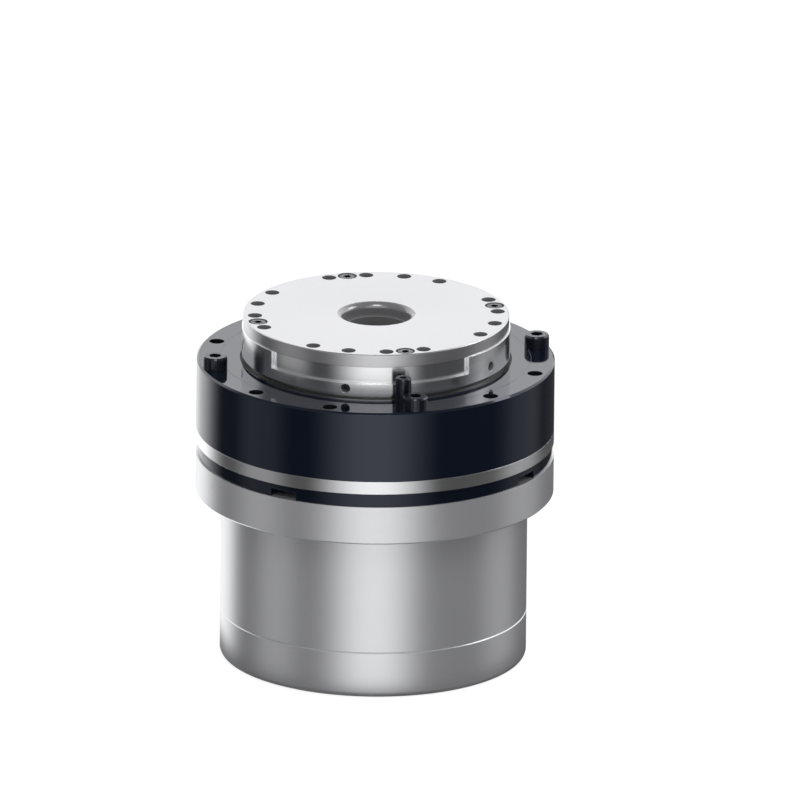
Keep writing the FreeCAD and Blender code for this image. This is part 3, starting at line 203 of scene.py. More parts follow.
# Painted shade: the disc's bore and the centre tube take a darker grey than the disc, for the shade inside
# the bore.
PAINTED_SHADE_BORE = Finish(
    "turned_bore_painted_shade", Grain.TURNED, (0.30, 0.30, 0.308), (0.27, 0.27, 0.277), metallic=0.5, roughness=0.20,
    spread=0.02, grain_size=1.6e-4, grain_depth=3e-7, wear_and_highlight_width=3e-5)
# Painted shade: a dark matt grey inside the holes of the silver parts and on the tube's top face, for the
# shade in them.
PAINTED_SHADE_HOLE = Finish(
    "drilled_hole_painted_shade", Grain.TURNED, (0.20, 0.20, 0.205), (0.17, 0.17, 0.175), metallic=0.0, roughness=0.60,
    spread=0.05, grain_size=2e-4, grain_depth=1e-6, specular=0.2)
BLACK_HOLE = Finish(
    "black_drilled_hole", Grain.TURNED, (0.006, 0.007, 0.010), (0.004, 0.005, 0.008), metallic=0.0,
    roughness=0.55, spread=0.05, grain_size=2e-4, grain_depth=1e-6, specular=0.2)


class Groups:
    """Shader node groups that several finishes share, each built once.

    An edge counts as worn, and carries a painted highlight, where the rounded normal turns from the
    face's past the angle whose cosine is given, and the mark comes in patches.
    """

    turned_stretch: float = 3.0
    edge_samples: int = 6
    edge_cosine: float = 0.97
    edge_contrast: float = 9.0
    patches_per_metre: float = 1500.0
    least_wear_and_highlight: float = 0.25

    def __init__(self) -> None:
        """Start with no group built."""
        self.made: dict[str, bpy.types.NodeTree] = {}

    def start(self, name: str, inputs: dict[str, float], outputs: list[str],
              vector: str = "") -> bpy.types.NodeTree:
        """Make a group with float inputs and outputs.

        Args:
            name: the group's name.
            inputs: each input socket's name and default.
            outputs: the float output sockets' names.
            vector: the name of a vector output, if the group has one.

        Returns:
            The new node tree, with an input and an output node.
        """
        tree = bpy.data.node_groups.new(name, "ShaderNodeTree")
        for socket, default in inputs.items():
            made = tree.interface.new_socket(socket, in_out="INPUT", socket_type="NodeSocketFloat")
            made.default_value = default
        for socket in outputs:
            tree.interface.new_socket(socket, in_out="OUTPUT", socket_type="NodeSocketFloat")
        if vector:
            tree.interface.new_socket(vector, in_out="OUTPUT", socket_type="NodeSocketVector")
        tree.nodes.new("NodeGroupInput")
        tree.nodes.new("NodeGroupOutput")
        self.made[name] = tree
        return tree

    def noise(self, tree: bpy.types.NodeTree, vector: bpy.types.NodeSocket, scale: float,
              detail: float) -> bpy.types.NodeSocket:
        """Add a noise texture on a vector and return its value socket."""
        node = tree.nodes.new("ShaderNodeTexNoise")
        node.inputs["Scale"].default_value = scale
        node.inputs["Detail"].default_value = detail
        tree.links.new(vector, node.inputs["Vector"])
        return node.outputs["Fac"]

    def maths(self, tree: bpy.types.NodeTree, kind: str, *values: bpy.types.NodeSocket | float,
              clamp: bool = False) -> bpy.types.NodeSocket:
        """Add a Math node whose inputs are sockets or numbers, and return its result."""
        node = tree.nodes.new("ShaderNodeMath")
        node.operation = kind
        node.use_clamp = clamp
        for i, item in enumerate(values):
            if isinstance(item, bpy.types.NodeSocket):
                tree.links.new(item, node.inputs[i])
            else:
                node.inputs[i].default_value = item
        return node.outputs[0]

    def per_metre(self, tree: bpy.types.NodeTree, size: bpy.types.NodeSocket) -> bpy.types.NodeSocket:
        """Object coordinates divided by a size, so a noise of scale 1 has features of that size."""
        place = tree.nodes.new("ShaderNodeTexCoord")
        count = self.maths(tree, "DIVIDE", 1.0, size)
        scaled = tree.nodes.new("ShaderNodeVectorMath")
        scaled.operation = "SCALE"
        tree.links.new(place.outputs["Object"], scaled.inputs[0])
        tree.links.new(count, scaled.inputs["Scale"])
        return scaled.outputs["Vector"]

    def grain(self, kind: Grain) -> bpy.types.NodeTree:
        """The group of one kind of grain: its height for a bump, and a mask that tints and dulls."""
        name = f"grain_{kind.name.lower()}"
        if name in self.made:
            return self.made[name]
        tree = self.start(name, {"Size": 0.0002}, ["Height", "Mask"])
        size, ends = tree.nodes["Group Input"].outputs["Size"], tree.nodes["Group Output"].inputs
        vector = self.per_metre(tree, size)
        if kind is Grain.TURNED:
            split = tree.nodes.new("ShaderNodeSeparateXYZ")
            tree.links.new(vector, split.inputs[0])
            x, y, z = (split.outputs[i] for i in range(3))
            radius = self.maths(tree, "SQRT", self.maths(tree, "ADD", self.maths(tree, "MULTIPLY", x, x),
                                                         self.maths(tree, "MULTIPLY", y, y)))
            turn = self.maths(tree, "MULTIPLY", self.maths(tree, "ARCTAN2", y, x), self.turned_stretch)
            marks = tree.nodes.new("ShaderNodeCombineXYZ")
            for socket, item in zip(marks.inputs, (radius, z, turn)):
                tree.links.new(item, socket)
            fine = self.noise(tree, marks.outputs[0], scale=1.0, detail=3.0)
            coarse = self.noise(tree, marks.outputs[0], scale=0.09, detail=2.0)
        elif kind is Grain.WOVEN:
            cloth = tree.nodes.new("ShaderNodeTexBrick")
            cloth.inputs["Scale"].default_value = 1.0
            cloth.inputs["Mortar Size"].default_value = 0.06
            tree.links.new(vector, cloth.inputs["Vector"])
            fine = cloth.outputs["Fac"]
            coarse = self.noise(tree, vector, scale=0.15, detail=3.0)
        else:
            fine = self.noise(tree, vector, scale=1.0, detail=4.0 if kind is Grain.BLASTED else 2.0)
            coarse = self.noise(tree, vector, scale=0.05, detail=3.0)
        tree.links.new(fine, ends["Height"])
        tree.links.new(coarse, ends["Mask"])
        return tree

    def handling(self) -> bpy.types.NodeTree:
        """The group of faint smears from handling, millimetres to centimetres across."""
        if "handling" in self.made:
            return self.made["handling"]
        tree = self.start("handling", {"Size": 0.012}, ["Smear"])
        size, ends = tree.nodes["Group Input"].outputs["Size"], tree.nodes["Group Output"].inputs
        vector = self.per_metre(tree, size)
        tree.links.new(self.noise(tree, vector, scale=1.0, detail=1.0), ends["Smear"])
        return tree

    def edge_wear_and_highlight(self) -> bpy.types.NodeTree:
        """The group of broken edges: a normal that rounds them, and a patchy mask for worn metal and painted
        highlight.
        """
        if "edge_wear_and_highlight" in self.made:
            return self.made["edge_wear_and_highlight"]
        tree = self.start("edge_wear_and_highlight", {"Width": 0.0001, "Amount": 0.5}, ["Mask"], vector="Normal")
        given, ends = tree.nodes["Group Input"].outputs, tree.nodes["Group Output"].inputs
        rounded, flat = tree.nodes.new("ShaderNodeBevel"), tree.nodes.new("ShaderNodeNewGeometry")
        rounded.samples = self.edge_samples
        tree.links.new(given["Width"], rounded.inputs["Radius"])
        meet = tree.nodes.new("ShaderNodeVectorMath")
        meet.operation = "DOT_PRODUCT"
        tree.links.new(rounded.outputs["Normal"], meet.inputs[0])
        tree.links.new(flat.outputs["Normal"], meet.inputs[1])
        turned = self.maths(tree, "SUBTRACT", self.edge_cosine, meet.outputs["Value"])
        sharp = self.maths(tree, "MULTIPLY", turned, self.edge_contrast, clamp=True)
        place = tree.nodes.new("ShaderNodeTexCoord")
        patches = self.noise(tree, place.outputs["Object"], scale=self.patches_per_metre, detail=3.0)
        broken = self.maths(tree, "ADD", patches, self.least_wear_and_highlight, clamp=True)
        partly = self.maths(tree, "MULTIPLY", sharp, broken)
        tree.links.new(self.maths(tree, "MULTIPLY", partly, given["Amount"], clamp=True), ends["Mask"])
        tree.links.new(rounded.outputs["Normal"], ends["Normal"])
        return tree


class Paintshop:
    """Makes one material for each finish and gives it to the pieces.

    The roughness varies about a middle value, by the smears and a share of the grain. The quarter
    turn sets the long side of a turned finish's highlight across its marks.
    """

    smear_size: float = 0.012
    grain_share: float = 0.1
    middle: float = 0.55
    bump_strength: float = 0.6
    quarter_turn: float = 0.25

    def __init__(self) -> None:
        """Start with no material made."""
        self.groups = Groups()
        self.made: dict[str, bpy.types.Material] = {}

    def place_group(self, tree: bpy.types.NodeTree, group: bpy.types.NodeTree,
                    **values: float) -> bpy.types.Node:
        """Put a group in a material with its own values."""
        node = tree.nodes.new("ShaderNodeGroup")
        node.node_tree = group
        for name, number in values.items():
            node.inputs[name].default_value = number
        return node

    def mix(self, tree: bpy.types.NodeTree, amount: bpy.types.NodeSocket,
            first: bpy.types.NodeSocket | Colour,
            second: bpy.types.NodeSocket | Colour) -> bpy.types.NodeSocket:
        """Mix two colours by a mask and return the colour."""
        node = tree.nodes.new("ShaderNodeMix")
        node.data_type = "RGBA"
        tree.links.new(amount, node.inputs["Factor"])
        for socket, colour in zip((node.inputs[6], node.inputs[7]), (first, second)):
            if isinstance(colour, bpy.types.NodeSocket):
                tree.links.new(colour, socket)
            else:
                socket.default_value = (*colour, 1.0)
        return node.outputs[2]

    def material(self, finish: Finish) -> bpy.types.Material:
        """Build a finish's material, or return it if it exists.

        Args:
            finish: the finish to build.

        Returns:
            The material, whose colour, gloss and relief all vary over the surface.
        """
        if finish.name in self.made:
            return self.made[finish.name]
        made = bpy.data.materials.new(finish.name)
        made.use_nodes = True
        tree = made.node_tree
        shader = tree.nodes["Principled BSDF"]
        grain = self.place_group(tree, self.groups.grain(finish.grain), Size=finish.grain_size)
        handling = self.place_group(tree, self.groups.handling(), Size=self.smear_size)
        smear = handling.outputs["Smear"]

        colour = self.mix(tree, grain.outputs["Mask"], finish.colour, finish.shade)
        uneven = self.groups.maths(tree, "MULTIPLY_ADD", grain.outputs["Mask"], self.grain_share, smear)
        spread = self.groups.maths(tree, "SUBTRACT", uneven, self.middle)
        rough = self.groups.maths(tree, "MULTIPLY_ADD", spread, finish.spread, finish.roughness)
        edge = self.place_group(tree, self.groups.edge_wear_and_highlight(), Width=finish.wear_and_highlight_width, Amount=finish.wear_and_highlight)
        # Worn edges and a painted edge highlight: a lighter colour along the rounded edges.
        if finish.wear_and_highlight:
            colour = self.mix(tree, edge.outputs["Mask"], colour, finish.wear_and_highlight_colour)
        tree.links.new(colour, shader.inputs["Base Color"])
        tree.links.new(rough, shader.inputs["Roughness"])
        bump = tree.nodes.new("ShaderNodeBump")
        bump.inputs["Strength"].default_value = self.bump_strength
        bump.inputs["Distance"].default_value = finish.grain_depth
        tree.links.new(grain.outputs["Height"], bump.inputs["Height"])
        tree.links.new(edge.outputs["Normal"], bump.inputs["Normal"])
        tree.links.new(bump.outputs["Normal"], shader.inputs["Normal"])
        shader.inputs["Metallic"].default_value = finish.metallic
        shader.inputs["IOR"].default_value = finish.ior
        shader.inputs["Specular IOR Level"].default_value = finish.specular
        shader.inputs["Specular Tint"].default_value = (*finish.tint, 1.0)
        shader.inputs["Coat Weight"].default_value = finish.coat
        shader.inputs["Coat Roughness"].default_value = finish.coat_roughness
        if finish.anisotropy:
            shader.inputs["Anisotropic"].default_value = finish.anisotropy
            shader.inputs["Anisotropic Rotation"].default_value = self.quarter_turn
            tangent = tree.nodes.new("ShaderNodeTangent")
            tangent.direction_type = "RADIAL"
            tangent.axis = "Z"
            tree.links.new(tangent.outputs[0], shader.inputs["Tangent"])
        self.made[finish.name] = made
        return made

    def dress(self, piece: bpy.types.Object, finish: Finish) -> None:
        """Give every slot of a piece one finish."""
        material = self.material(finish)
        if not piece.material_slots:
            piece.data.materials.append(material)
        for slot in piece.material_slots:
            slot.material = material

    def dress_node(self, name: str, finish: Finish) -> None:
        """Give a CAD node its finish and report it."""
        self.dress(frame["nodes"][name], finish)
        log.info("%s: %s", name, finish.name)


PAINTSHOP = Paintshop()


# ---------------------------------------------------------------------------------------------
# Workshop: shapes made with mesh operators
# ---------------------------------------------------------------------------------------------


def turned_blank(profile: list[Point], steps: int = 96) -> bmesh.types.BMesh:
    """Spin an outline of (radius, height) points, in metres, once round the Z axis.

    Args:
        profile: the corners in order; a closed ring has its first corner again at the end.
        steps: how many flats go round.

    Returns:
        A mesh with merged seam and outward faces.
    """
    mesh = bmesh.new()
    corners = [mesh.verts.new((radius, 0.0, height)) for radius, height in profile]
    edges = [mesh.edges.new(pair) for pair in zip(corners, corners[1:])]
    bmesh.ops.spin(mesh, geom=corners + edges, cent=ORIGIN, axis=AXIS, angle=math.tau, steps=steps,
                   use_merge=True, use_duplicate=False)
    bmesh.ops.remove_doubles(mesh, verts=mesh.verts, dist=MERGE)
    bmesh.ops.recalc_face_normals(mesh, faces=mesh.faces)
    return mesh


def drawn_out(mesh: bmesh.types.BMesh, edges: list[bmesh.types.BMEdge], step: float,
              scale: float) -> list[bmesh.types.BMEdge]:
    """Extrude a loop along the axis by a step in metres, scale it about the axis, and return its edges."""
    made = bmesh.ops.extrude_edge_only(mesh, edges=edges)["geom"]
    verts = [item for item in made if isinstance(item, bmesh.types.BMVert)]
    bmesh.ops.translate(mesh, verts=verts, vec=(0.0, 0.0, step))
    bmesh.ops.scale(mesh, verts=verts, vec=(scale, scale, 1.0))
    return [item for item in made if isinstance(item, bmesh.types.BMEdge)]


def repeat_round(mesh: bmesh.types.BMesh, radius: float, angles: list[float]) -> None:
    """Copy a shape made on the axis to each angle, in degrees, on a circle, and drop the first."""
    first = list(mesh.verts) + list(mesh.edges) + list(mesh.faces)
    for angle in angles:
        copy = bmesh.ops.duplicate(mesh, geom=first)["geom"]
        moved = [item for item in copy if isinstance(item, bmesh.types.BMVert)]
        turn = Matrix.Rotation(math.radians(angle), 4, "Z") @ Matrix.Translation((radius, 0.0, 0.0))
        bmesh.ops.transform(mesh, matrix=turn, verts=moved)
    bmesh.ops.delete(mesh, geom=[item for item in first if isinstance(item, bmesh.types.BMVert)],
                     context="VERTS")


def settle(mesh: bmesh.types.BMesh, name: str, smooth_angle: float = 32.0) -> bpy.types.Object:
    """Turn a mesh into a scene object with smooth faces and sharp edges.

    Args:
        mesh: the finished mesh, which is freed.
        name: the piece's name.
        smooth_angle: edges that turn by more degrees than this stay sharp.

    Returns:
        The linked object, at the origin.
    """
    data = bpy.data.meshes.new(name)
    mesh.to_mesh(data)
    mesh.free()
    if "custom_normal" in data.attributes:
        data.attributes.remove(data.attributes["custom_normal"])
    data.shade_smooth()
    data.set_sharp_from_angle(angle=math.radians(smooth_angle))
    piece = bpy.data.objects.new(name, data)
    bpy.context.scene.collection.objects.link(piece)
    return piece


def stand_for(piece: bpy.types.Object, node: str, finish: Finish) -> bpy.types.Object:
    """Let a piece replace a CAD node, ride on its body and take a finish."""
    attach(piece, frame["nodes"][node]["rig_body"])
    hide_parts(node)
    PAINTSHOP.dress(piece, finish)
    log.info("%s stands for %s: %s, %d faces", piece.name, node, finish.name, len(piece.data.polygons))
    return piece


@dataclass(frozen=True)
class Zone:
    """A ring-shaped zone about the axis, in metres, whose faces take a finish of their own.

    A zone with a half width reaches only that far to each side of its angle, in degrees.
    """

    finish: Finish
    inner: float
    outer: float
    low: float
    high: float
    angle: float = 0.0
    half: float = math.inf

    def holds(self, place: Vector) -> bool:
        """Whether a point lies in the zone."""
        turned = Matrix.Rotation(-math.radians(self.angle), 3, "Z") @ place
        beside = math.isinf(self.half) or (abs(turned.y) < self.half and turned.x > 0.0)
        return self.inner < turned.xy.length < self.outer and self.low < turned.z < self.high and beside


def zoned_copy(node: str, finish: Finish, zones: list[Zone]) -> bpy.types.Object:
    """Replace a CAD node by a merged copy whose holes and bores have finishes of their own; the dark
    grey ones are painted shade.

    Args:
        node: the CAD node to copy.
        finish: the finish outside the zones.
        zones: the zones, of which a face takes the first that holds its middle.

    Returns:
        The copy as a scene object.
    """
    mesh = bmesh.new()
    mesh.from_mesh(frame["nodes"][node].data)
    bmesh.ops.remove_doubles(mesh, verts=mesh.verts, dist=MERGE)
    bmesh.ops.recalc_face_normals(mesh, faces=mesh.faces)
    for face in mesh.faces:
        middle = face.calc_center_median()
        face.material_index = next((i + 1 for i, zone in enumerate(zones) if zone.holds(middle)), 0)
    piece = settle(mesh, f"{node}_zoned", 30.0)
    stand_for(piece, node, finish)
    for zone in zones:
        piece.data.materials.append(PAINTSHOP.material(zone.finish))
    return piece


# ---------------------------------------------------------------------------------------------
# Fasteners
# ---------------------------------------------------------------------------------------------


@dataclass
class SocketScrews:
    """A set of socket head cap screws on a circle, with knurled heads.

    Lengths are in metres and angles in degrees. The neck is where head and shank meet, the face is
    the top of the head and the end is the tip of the shank. The ease of the rim is a share of the
    head's radius, and rises by so many times its width. The cone at the socket's bottom is in shares
    of the socket's radius, and the thread's root and pitch are shares of the shank's.
    """

    name: str
    node: str
    circle: float
    angles: list[float]
    shank: float
    head: float
    end: float
    neck: float
    face: float
    socket: float
    socket_depth: float
    ridges: int = 27
    ridge_points: int = 4
    ridge_depth: float = 0.03 * MM
    ridge_fade: float = 0.6
    ease_share: float = 0.09
    ease_rise: float = 1.6
    socket_sides: int = 6
    cone_drop: float = 0.18
    cone_share: float = 0.55
    root_share: float = 0.86
    pitch_share: float = 0.36
    shank_flats: int = 20
    smooth_angle: float = 28.0

    def head_blank(self) -> bmesh.types.BMesh:
        """The head with its knurl, eased rim and hexagon socket, on the axis."""
        mesh = bmesh.new()
        up = 1.0 if self.face > self.neck else -1.0
        height = abs(self.face - self.neck)
        ease, ridge = self.ease_share, self.ridge_depth / self.head
        rise = self.ease_rise * ease * self.head
        points = self.ridge_points * self.ridges
        ring = bmesh.ops.create_circle(mesh, cap_ends=False, segments=points, radius=self.head)["verts"]
        for i, vert in enumerate(ring):
            if i % self.ridge_points < self.ridge_points // 2:
                vert.co.xy *= 1.0 - ridge
        base = list(mesh.edges)
        rim = base
        for step, scale in ((height - rise, 1.0), (0.0, 1.0 - self.ridge_fade * ridge), (rise, 1.0 - ease)):
            rim = drawn_out(mesh, rim, step, scale)
        hexagon = bmesh.ops.create_circle(mesh, cap_ends=False, segments=self.socket_sides,
                                          radius=self.socket)["verts"]
        sides = list(dict.fromkeys(edge for vert in hexagon for edge in vert.link_edges))
        bmesh.ops.subdivide_edges(mesh, edges=sides, cuts=points // self.socket_sides - 1)
        reach = self.socket + MERGE
        loop = [edge for edge in mesh.edges if max(vert.co.xy.length for vert in edge.verts) < reach]
        verts = list(dict.fromkeys(vert for edge in loop for vert in edge.verts))
        bmesh.ops.translate(mesh, verts=verts, vec=(0.0, 0.0, height))
        bmesh.ops.bridge_loops(mesh, edges=rim + loop)
        for drop, scale in ((self.socket_depth, 1.0), (self.cone_drop * self.socket, self.cone_share)):
            loop = drawn_out(mesh, loop, -drop, scale)
        bmesh.ops.edgeloop_fill(mesh, edges=loop)
        bmesh.ops.edgeloop_fill(mesh, edges=base)
        bmesh.ops.scale(mesh, verts=mesh.verts, vec=(1.0, 1.0, up))
        bmesh.ops.translate(mesh, verts=mesh.verts, vec=(0.0, 0.0, self.neck))
        bmesh.ops.recalc_face_normals(mesh, faces=mesh.faces)
        return mesh

    def shank_blank(self) -> bmesh.types.BMesh:
        """The threaded shank, as turned grooves with an eased end."""
        low, high = sorted((self.end, self.neck))
        root = self.root_share * self.shank
        pitch = self.pitch_share * self.shank
        turns = max(2, int((high - low) / pitch))
        points: list[Point] = [(0.0, low), (root, low)]
        for i in range(turns):
            points.append((self.shank, low + (i + 0.5) * (high - low) / turns))
            points.append((root, low + (i + 1.0) * (high - low) / turns))
        points.append((0.0, high))
        return turned_blank(points, self.shank_flats)

    def build(self) -> bpy.types.Object:
        """Make the set, put it in place of its CAD node and dress it."""
        head, shank = self.head_blank(), self.shank_blank()
        data = bpy.data.meshes.new("shank")
        shank.to_mesh(data)
        shank.free()
        head.from_mesh(data)
        bpy.data.meshes.remove(data)
        repeat_round(head, self.circle, self.angles)
        piece = settle(head, self.name, self.smooth_angle)
        return stand_for(piece, self.node, BLACK_OXIDE)


@dataclass
class Fasteners:
    """Every screw and plug that shows on the outside."""

    quarters: list[float] = field(default_factory=lambda: [0.0, 90.0, 180.0, 270.0])
    diagonals: list[float] = field(default_factory=lambda: [45.0, 135.0, 225.0, 315.0])
    disc_seat: float = DISC_TOP - 2.1 * MM
    cover_seat: float = 1.6 * MM

    def build(self) -> None:
        """Build the stack screws, the grease plug, the disc screws and the cover screws."""
        SocketScrews(
            "stack_cap_screws", "stack_screws", circle=STACK_CIRCLE, angles=self.quarters, shank=1.45 * MM,
            head=2.75 * MM, end=40.7 * MM, neck=RING_TOP, face=RING_TOP + 3.0 * MM,
            socket=1.45 * MM, socket_depth=1.5 * MM).build()
        SocketScrews(
            "knurled_grease_plug", "grease_plug", circle=32.3 * MM, angles=[267.0], shank=1.0 * MM,
            head=1.8 * MM, end=65.45 * MM, neck=RING_TOP, face=RING_TOP + 5.85 * MM,
            socket=0.85 * MM, socket_depth=2.0 * MM, ridges=21).build()
        SocketScrews(
            "disc_cap_screws", "disc_screws", circle=DISC_CIRCLE, angles=self.quarters, shank=0.95 * MM,
            head=1.9 * MM, end=self.disc_seat - 4.0 * MM, neck=self.disc_seat,
            face=self.disc_seat + 2.0 * MM, socket=0.85 * MM, socket_depth=1.0 * MM, ridges=21).build()
        SocketScrews(
            "cover_cap_screws", "cover_screws", circle=28.8 * MM, angles=self.diagonals, shank=1.0 * MM,
            head=2.0 * MM, end=14.0 * MM, neck=self.cover_seat, face=0.3 * MM,
            socket=0.85 * MM, socket_depth=0.9 * MM, ridges=21).build()


# ---------------------------------------------------------------------------------------------
# Sub-assemblies
# ---------------------------------------------------------------------------------------------


@dataclass
class RearHousing:
    """The satin cover and barrel, with the boards, connectors and encoders inside them."""

    def build(self) -> None:
        """Dress the castings and what they hold."""
        for node in ("rear_cover", "motor_housing"):
            PAINTSHOP.dress_node(node, SATIN)
        for node in ("power_connector", "signal_connector", "board_components"):
            PAINTSHOP.dress_node(node, PLASTIC)
        for node in ("driver_board", "encoder_board"):
            PAINTSHOP.dress_node(node, BOARD)
        PAINTSHOP.dress_node("board_standoffs", BRASS)
        PAINTSHOP.dress_node("board_screws", BLACK_OXIDE)
        for node in ("rotor_encoder_ring", "output_encoder_ring"):
            PAINTSHOP.dress_node(node, MAGNET_PLATE)


@dataclass
class BrakeAndMotor:
    """The spring-applied brake and the frameless motor."""

    finishes: dict[str, Finish] = field(default_factory=lambda: {
        "brake_body": GEAR_STEEL, "brake_coil": COPPER_WIRE, "brake_plate": GEAR_STEEL,
        "brake_armature": GEAR_STEEL, "brake_spacers": BRASS, "brake_screws": BLACK_OXIDE,
        "brake_hub": GEAR_STEEL, "brake_disc": LINING, "rotor_shaft": GEAR_STEEL, "rotor_yoke": GEAR_STEEL,
        "rotor_magnets": MAGNET_PLATE, "stator_core": LAMINATION, "stator_windings": COPPER_WIRE,
    })

    def build(self) -> None:
        """Dress the brake, the rotor, the stator and their ball bearings."""
        for node, finish in self.finishes.items():
            PAINTSHOP.dress_node(node, finish)
        for end in ("rear", "front"):
            PAINTSHOP.dress_node(f"{end}_inner_race", RACE_STEEL)
            PAINTSHOP.dress_node(f"{end}_outer_race", RACE_STEEL)
            PAINTSHOP.dress_node(f"{end}_balls", BALL_STEEL)
            PAINTSHOP.dress_node(f"{end}_cage", CAGE_BRASS)


@dataclass
class StrainWaveGear:
    """The black bracket, the toothed flexspline and circular spline, and the wave generator."""

    def build(self) -> None:
        """Dress the gear's rings, bearings and screws."""
        PAINTSHOP.dress_node("bearing_bracket", BLACK_BAND)
        PAINTSHOP.dress_node("shaft_seal", RUBBER)
        PAINTSHOP.dress_node("flexspline", FLANGE_STEEL)
        PAINTSHOP.dress_node("circular_spline", GEAR_STEEL)
        PAINTSHOP.dress_node("spline_screws", BLACK_OXIDE)
        for node in ("wave_outer_race", "wave_inner_race"):
            PAINTSHOP.dress_node(node, RACE_STEEL)
        PAINTSHOP.dress_node("wave_balls", BALL_STEEL)
        PAINTSHOP.dress_node("wave_cage", CAGE_BRASS)
        PAINTSHOP.dress_node("wave_plug", GEAR_STEEL)
        PAINTSHOP.dress_node("wave_retainer", GEAR_STEEL)


@dataclass
class OutputStage:
    """The black bearing ring and seal ring, and the output ring with its disc and centre tube.

    Levels and radii are in metres. A side hole is named by its angle in degrees and its level. The
    skin keeps a flat face apart from the walls that start at it.
    """

    ring_foot: float = 50.0 * MM
    stack_reach: float = 1.9 * MM
    disc_radius: float = 30.0 * MM
    disc_reach: float = 2.3 * MM
    lip_radius: float = 9.2 * MM
    lip_start: float = 8.0 * MM
    tube_bore: float = 6.5 * MM
    tube_flange: float = 12.0 * MM
    side_hole_places: tuple[Point, ...] = ((27.0, 71.15 * MM), (99.0, 71.15 * MM), (171.0, 72.1 * MM),
                                           (243.0, 71.15 * MM), (315.0, 72.1 * MM))
    side_hole_reach: float = 1.1 * MM
    side_hole_bottom: float = 26.0 * MM
    skin: float = 0.02 * MM

    def side_holes(self) -> list[Zone]:
        """The blind holes round the output ring's side, with a dark grey inside as painted shade."""
        reach = self.side_hole_reach
        return [Zone(PAINTED_SHADE_HOLE, self.side_hole_bottom, self.disc_radius - self.skin, level - reach, level + reach,
                     angle, reach) for angle, level in self.side_hole_places]

    def circle_of_holes(self, finish: Finish, circle: float, reach: float, low: float, high: float) -> Zone:
        """The walls of the holes on a circle, which reach this far to each side of it."""
        return Zone(finish, circle - reach, circle + reach, low, high)

    def build(self) -> None:
        """Dress the crossed roller bearing and the turning output."""
        zoned_copy("bearing_outer_ring", BLACK_RING, [self.circle_of_holes(
            BLACK_HOLE, STACK_CIRCLE, self.stack_reach, self.ring_foot, RING_TOP - self.skin)])
        PAINTSHOP.dress_node("seal_ring", BLACK_RING)
        for node in ("rollers_rising", "rollers_falling"):
            PAINTSHOP.dress_node(node, BALL_STEEL)
        PAINTSHOP.dress_node("roller_spacers", PLASTIC)
        PAINTSHOP.dress_node("oil_seal", RUBBER)
        # Painted shade: the side holes take a dark grey inside.
        zoned_copy("output_ring", TURNED_STEEL, self.side_holes())
        floor, seat, top = OUTPUT_TOP - self.skin, OUTPUT_TOP + self.skin, DISC_TOP - self.skin
        # Painted shade: the disc's holes take a dark matt grey, and its bore a darker grey than its faces.
        zoned_copy("output_disc", DISC_EDGE, [
            self.circle_of_holes(PAINTED_SHADE_HOLE, DISC_CIRCLE, self.disc_reach, seat, top),
            Zone(PAINTED_SHADE_BORE, 0.0, self.lip_radius, OUTPUT_TOP, top),
            Zone(DISC_FACE, self.lip_start, self.disc_radius, top, DISC_TOP + self.skin)])
        # Painted shade: the centre tube takes the bore's darker grey, and a dark grey on its top face.
        zoned_copy("centre_tube", PAINTED_SHADE_BORE, [
            Zone(PAINTED_SHADE_HOLE, self.tube_bore - self.skin, self.tube_flange + self.skin, floor, seat)])


# ---------------------------------------------------------------------------------------------
# Studio
# ---------------------------------------------------------------------------------------------


@dataclass(frozen=True)
class Panel:
    """A bright panel of the room as a polished side shows it, on an otherwise dim floor or wall.

    The direction is in degrees about the object, zero toward the camera and growing to the right.
    The panel reaches this far to each side of it and then fades over the soft width.
    """

    direction: float
    reach: float
    soft: float
    level: float


@dataclass(frozen=True)
class Lamp:
    """A square soft lamp, by its place and size in metres."""

    name: str
    place: tuple[float, float, float]
    size: float


